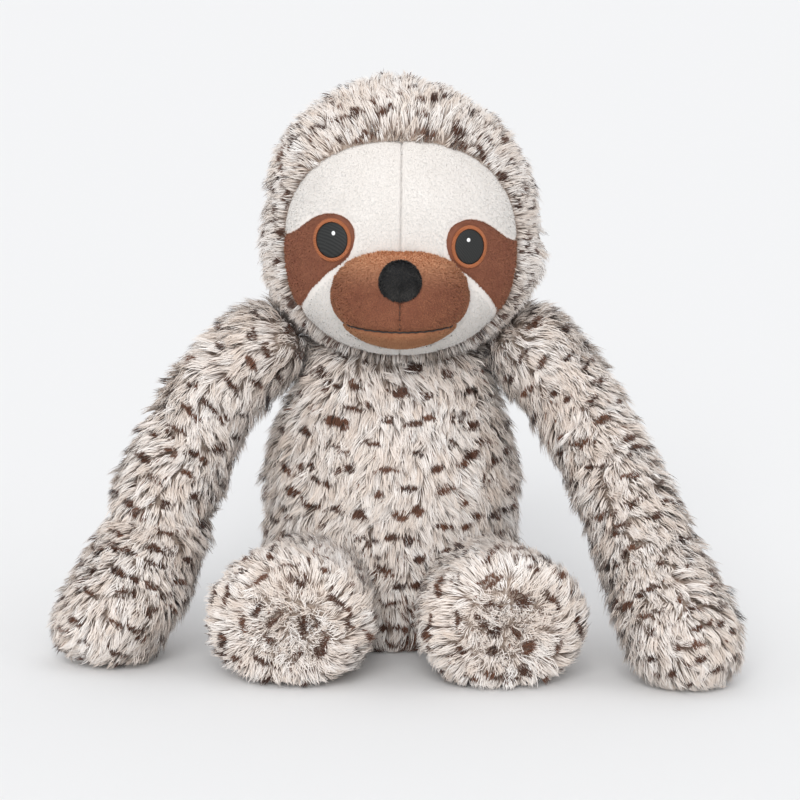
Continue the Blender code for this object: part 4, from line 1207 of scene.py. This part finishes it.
def ellipse(middle, half, count=96, tilt=0):
    turn = np.arange(count) / count * 2 * math.pi
    x, z = half[0] * np.cos(turn), half[1] * np.sin(turn)
    return np.stack([middle[0] + x * math.cos(tilt) - z * math.sin(tilt),
                     middle[1] + x * math.sin(tilt) + z * math.cos(tilt)], 1)


def around_eye(word, out):
    """The outline of an eye, or a line this far outside it."""
    half = EYE_HALF[word]
    return ellipse(EYE_MIDDLE[word], (half[0] + out, half[1] + out), 96, EYE_TILT[word])


def domed(base, height):
    """How far stitching stands off the skin: a dome of this height on this base."""
    return lambda out, deep: base + height * np.sqrt(1.02 - out ** 2)


eyes, glints, rings = {}, {}, {}
EYE_LIFT = 2.1 * MM
for word, side in WORDS:
    middle = EYE_MIDDLE[word]
    eyes[word] = disc(f"{word}_eye_stitching", around_eye(word, 0), middle, 10,
                      domed(EYE_LIFT - 0.2 * MM, 0.9 * MM))
    dot = (middle[0] + (1.0 * MM if side < 0 else -0.8 * MM), middle[1] + 3.2 * MM)
    glints[word] = disc(f"{word}_eye_glint", ellipse(dot, (0.9 * MM, 1.1 * MM), 24), dot, 4,
                        domed(EYE_LIFT + 0.5 * MM, 0.35 * MM))
    ring = around_eye(word, RING / 2)
    places, normals = on_skin(HEAD_FORM, ring[:, 0], ring[:, 1])
    out = ring - middle
    along = laid(np.stack([out[:, 0], 0 * out[:, 0], out[:, 1]], 1), normals)
    rings[word] = stitches(f"{word}_eye_ring_stitches", places + normals * (EYE_LIFT + 0.1 * MM),
                           along, normals, RING + 0.2 * MM, 0.6 * MM)
for piece in (*eyes.values(), *glints.values()):
    thickened(piece, 0.4 * MM)
print("eyes stitched,", len(stitch_faces), "faces in a stitch")

# %% [markdown]
# ## Mouth and nose seam
# The mouth is one line of short stitches in dark thread, which lies in the valley between
# the two panels and bends up at its ends. A few dark brown stitches lie in the pinched seam
# below the nose: the seam is real, and its dark line is painted shade. Both are laid from
# copies of the same stitch, so that they catch the light as thread does.

# %% The mouth thread
muzzle_form = (tree_of(muzzle), muzzle.data)
x = np.linspace(-MOUTH_HALF, MOUTH_HALF, 31)
places, normals = on_skin(muzzle_form, x, MOUTH + smile(x))
middles = (places[1:] + places[:-1]) / 2
along = places[1:] - places[:-1]
step = np.linalg.norm(along, axis=1).mean()
tilt = np.stack([0 * x[1:], 0 * x[1:], np.where(np.arange(len(along)) % 2, 0.12, -0.12)], 1)
mouth_thread = stitches("mouth_stitches", middles + normals[1:] * 0.35 * MM,
                        unit(along) + tilt, normals[1:], step * 1.12, 0.85 * MM)
# Painted shade: dark stitches down the pinched seam below the nose draw the shade in its crease.
z = np.linspace(MOUTH, NOSE_LOW + 1 * MM, 7)
places, normals = on_skin(muzzle_form, 0 * z, z)
middles_up = (places[1:] + places[:-1]) / 2 + normals[1:] * 0.1 * MM
seam_shade_stitches = stitches("philtrum_stitches_painted_shade", middles_up, places[1:] - places[:-1], normals[1:],
                       2.6 * MM, 0.8 * MM)
print("mouth", len(middles), "stitches", round(step / MM, 1), "mm long")

# %% [markdown]
# ## Short pile, flock and thread
# The face cloth is velboa: a knit whose short pile stands close and nearly upright, so that it
# looks powdery, paler where it is seen along the surface. Flock on the nose is shorter still.
# Embroidery thread is rayon, twisted and glossy. The short pile is grown as the long one is.
# The stripes of the black satin stitch are drawn coarser than thread is, or they don't show.

# %% Materials of the face


def short_pile(name, root_shade_hex, low_hex, high_hex, sheen, sheen_hex, rising=None):
    """Short pile: darker at the root, which is painted shade, mottled where it has been stroked
    either way.
    Rising gives two heights and a colour: the pile fades to it between them."""
    made, shader = new_material(name, 0.8, Sheen_Weight=sheen, Sheen_Roughness=0.4,
                                Sheen_Tint=linear(sheen_hex), Specular_IOR_Level=0.2)
    facts = node(made, "ShaderNodeAttribute", attribute_name="fibre")
    split = node(made, "ShaderNodeSeparateXYZ", {"Vector": facts.outputs["Vector"]})
    at = node(made, "ShaderNodeTexCoord").outputs["Object"]
    stroke = node(made, "ShaderNodeTexNoise", {"Vector": at, "Scale": 160, "Detail": 3})
    mottle = node(made, "ShaderNodeMapRange", {"Value": stroke.outputs["Fac"],
                                               "From Min": 0.35, "From Max": 0.65})
    mixed = node(made, "ShaderNodeMath", {0: mottle.outputs["Result"],
                                          1: split.outputs["Z"]}, operation="ADD")
    half = node(made, "ShaderNodeMath", {0: mixed.outputs["Value"], 1: 0.5},
                operation="MULTIPLY")
    body = node(made, "ShaderNodeMix", {"Factor": half.outputs["Value"], "A": linear(low_hex),
                                        "B": linear(high_hex)}, data_type="RGBA")
    # Painted shade: the pile fades from the darker root colour over the first 0.6 of its length.
    rise = node(made, "ShaderNodeMapRange", {"Value": split.outputs["X"], "From Max": 0.6})
    colour = node(made, "ShaderNodeMix", {"Factor": rise.outputs["Result"],
                                          "A": linear(root_shade_hex),
                                          "B": body.outputs["Result"]}, data_type="RGBA")
    if rising:
        colour = rising_to(made, colour, at, rising)
    made.node_tree.links.new(colour.outputs["Result"], shader.inputs["Base Color"])
    return made


def thread(name, low_hex, high_hex, pitch, gloss):
    """Twisted thread: fine slanting plies, painted lighter along their raised tops, a painted
    highlight of their gloss.
    """
    made, shader = new_material(name, gloss, Specular_IOR_Level=0.6)
    at = node(made, "ShaderNodeTexCoord").outputs["Object"]
    plies = node(made, "ShaderNodeTexWave", {"Vector": at, "Scale": 0.314 / pitch,
                                             "Distortion": 1.5, "Detail": 1},
                 bands_direction="DIAGONAL")
    # Painted highlight: the thread is coloured lighter where the plies stand highest.
    shade = node(made, "ShaderNodeMix", {"Factor": plies.outputs["Fac"],
                                         "A": linear(low_hex),
                                         "B": linear(high_hex)}, data_type="RGBA")
    made.node_tree.links.new(shade.outputs["Result"], shader.inputs["Base Color"])
    raised = node(made, "ShaderNodeBump", {"Height": plies.outputs["Fac"], "Strength": 0.7,
                                           "Distance": 0.15 * MM})
    made.node_tree.links.new(raised.outputs["Normal"], shader.inputs["Normal"])
    return made


# Painted light: the muzzle's knit and pile are painted paler towards the top, where light from
# above falls.
PAINTED_LIGHT_TOP = (184 * MM, 206 * MM, "#D69E78")   # the muzzle's pile pales towards its top
PITCH = (0.7 * MM, 0.15 * MM)               # between the knit's loops, and their height
white_knit = knitted("knitted_white_velboa", "#DED8D2", "#E8E3DE", *PITCH)
brown_knit = knitted("knitted_brown_velboa", "#774835", "#875440", *PITCH)
pad_knit = knitted("knitted_muzzle_velboa_painted_light_top", "#774835", "#875440", *PITCH, PAINTED_LIGHT_TOP)
tan_knit = knitted("knitted_tan_velboa", "#9A6044", "#AC7452", *PITCH)
black_base = knitted("black_flock_adhesive", "#1C1D20", "#292B2F", 0.5 * MM, 0.1 * MM)
white_pile = short_pile("white_velboa_pile", "#C4C0BC", "#D9D7D4", "#E9E7E4", 0.15, "#FFFFFF")
brown_pile = short_pile("brown_velboa_pile", "#6C402F", "#875240", "#A06B51", 0.5, "#E8B890")
muzzle_pile = short_pile("brown_velboa_pile_painted_light_top", "#6C402F", "#8A5440", "#A87053", 0.6,
                         "#E8B890", PAINTED_LIGHT_TOP)
tan_pile = short_pile("tan_velboa_pile", "#85573D", "#A06C4E", "#B68562", 0.5, "#F0C8A0")
flock = short_pile("black_nylon_flock", "#020202", "#0A0A0B", "#4A4846", 0.12, "#A0A4AA")
black_rayon = thread("black_rayon_satin_stitch", "#050606", "#1F2120", 0.9 * MM, 0.7)
rust_rayon = thread("rust_rayon_satin_stitch", "#98522E", "#BF7546", 0.5 * MM, 0.45)
dark_rayon = thread("black_rayon_mouth_thread", "#1A1513", "#3A2E2A", 0.4 * MM, 0.5)
seam_shade_thread = thread("dark_thread_painted_seam_shade", "#3A1E14", "#54301F", 0.4 * MM, 0.6)
white_rayon = thread("white_rayon_stitch", "#E8E8E8", "#FFFFFF", 0.4 * MM, 0.4)


NAP, PAD_NAP = 1.1 * MM, 1.3 * MM   # lengths of the short pile on the face and the muzzle
THIN = 0.3 * MM             # its fibres, drawn coarser than they are
CLOTH = 0.6 * MM            # thickness of the knit


def stroked(keep):
    """Combing for short pile, which lies a little downwards."""
    even = np.ones((len(keep), 1))
    return {"comb": even * [0, 0, -1], "length": even, "keep": keep[:, None], "lean": even,
            "wild": 0.5 * even, "dark": 0 * even}


def nap(name, seed, skin, keep, per_area, length, thick, material, body, slot):
    """Short pile on a piece, nearly upright, with a little wander."""
    rng = np.random.default_rng(seed)
    share = 1
    root, normal, comb, *_ = spread_roots(skin, stroked(keep),
                                          per_area * share / MM ** 2, rng)
    way = laid(unit(comb + rng.normal(0, 0.5, root.shape)), normal)
    long = length * rng.uniform(0.75, 1.15, len(root))
    path = bent_paths(root, normal, way, long,
                      np.radians([18, 34, 48]) + rng.normal(0, 0.15, (len(root), 1)))
    piece = fibres_mesh(name, path, thick * rng.uniform(0.8, 1.2, len(root)) / share ** 0.5,
                        normal, rng.random(len(root)), rng.uniform(-1, 1, len(root)))
    dress(piece, material, body, slot)
    print(name, len(root), "fibres")


# %% [markdown]
# ## The face, dressed
# Cloth and pile are two layers: the knit gives a piece its thickness, and the pile stands on
# its front only. The pieces of the face are sheets that the filling behind them holds tight.
# A piece is wider and higher when it lies flat than what shows, as the head curves away.

# %% Dress the face


def sewn(cloth, name, seed, keep, per_area, pile, knit, slot, solid):
    """Grow the short pile of a sheet, then give it its thickness."""
    nap(name, seed, cloth, keep.astype(float), per_area, NAP, THIN, pile, "head", slot)
    across, _, up = np.ptp(points_of(cloth), axis=0)
    thickened(cloth, CLOTH)
    dress(cloth, knit, "head", slot, solid)


for word, side in WORDS:
    places = points_of(faces[word])
    off = off_curve(places[:, [0, 2]], patches[word])
    sewn(faces[word], f"{word}_face_nap", 31 + side,
         (off > 0.3 * MM) & (face_share(places) < IN_FACE), 4, white_pile, white_knit,
         "face_velboa", f"face_{word}_panel")
    places = points_of(patch_pieces[word])
    sewn(patch_pieces[word], f"{word}_patch_nap", 41 + side,
         off_curve(places[:, [0, 2]], around_eye(word, RING)) > 0, 6, brown_pile, brown_knit,
         "brown_velboa", f"{word}_eye_patch")
    dress(eyes[word], black_rayon, "head", "black_thread", f"{word}_eye")
    dress(rings[word], rust_rayon, "head", "rust_thread", f"{word}_eye_ring")
    dress(glints[word], white_rayon, "head", "black_thread")

dress(muzzle, pad_knit, "head", "brown_velboa", "muzzle_upper_panel", "chin_panel",
      "muzzle_filling")
muzzle.data.materials.append(tan_knit)
for index in chin_faces:
    muzzle.data.polygons[index].material_index = 1
places = points_of(muzzle)
out = normals_of(muzzle)[:, 1] < 0.45
seam = MOUTH + smile(places[:, 0])
upper = (out & (places[:, 2] > seam + 0.1 * MM)).astype(float)
lower = (out & (places[:, 2] < seam + 0.3 * MM)).astype(float)
nap("muzzle_nap", 51, muzzle, upper, 6, PAD_NAP, THIN, muzzle_pile, "head", "brown_velboa")
nap("chin_nap", 52, muzzle, lower, 6, PAD_NAP, THIN, tan_pile, "head", "brown_velboa")
dress(seam_shade_stitches, seam_shade_thread, "head", "black_thread")
dress(mouth_thread, dark_rayon, "head", "black_thread", "mouth_thread")
dress(nose, black_base, "head", "black_flock", "nose")
nap("nose_flock", 53, nose, (normals_of(nose)[:, 1] < 0.6).astype(float), 8, 1.5 * MM,
    0.36 * MM, flock, "head", "black_flock")
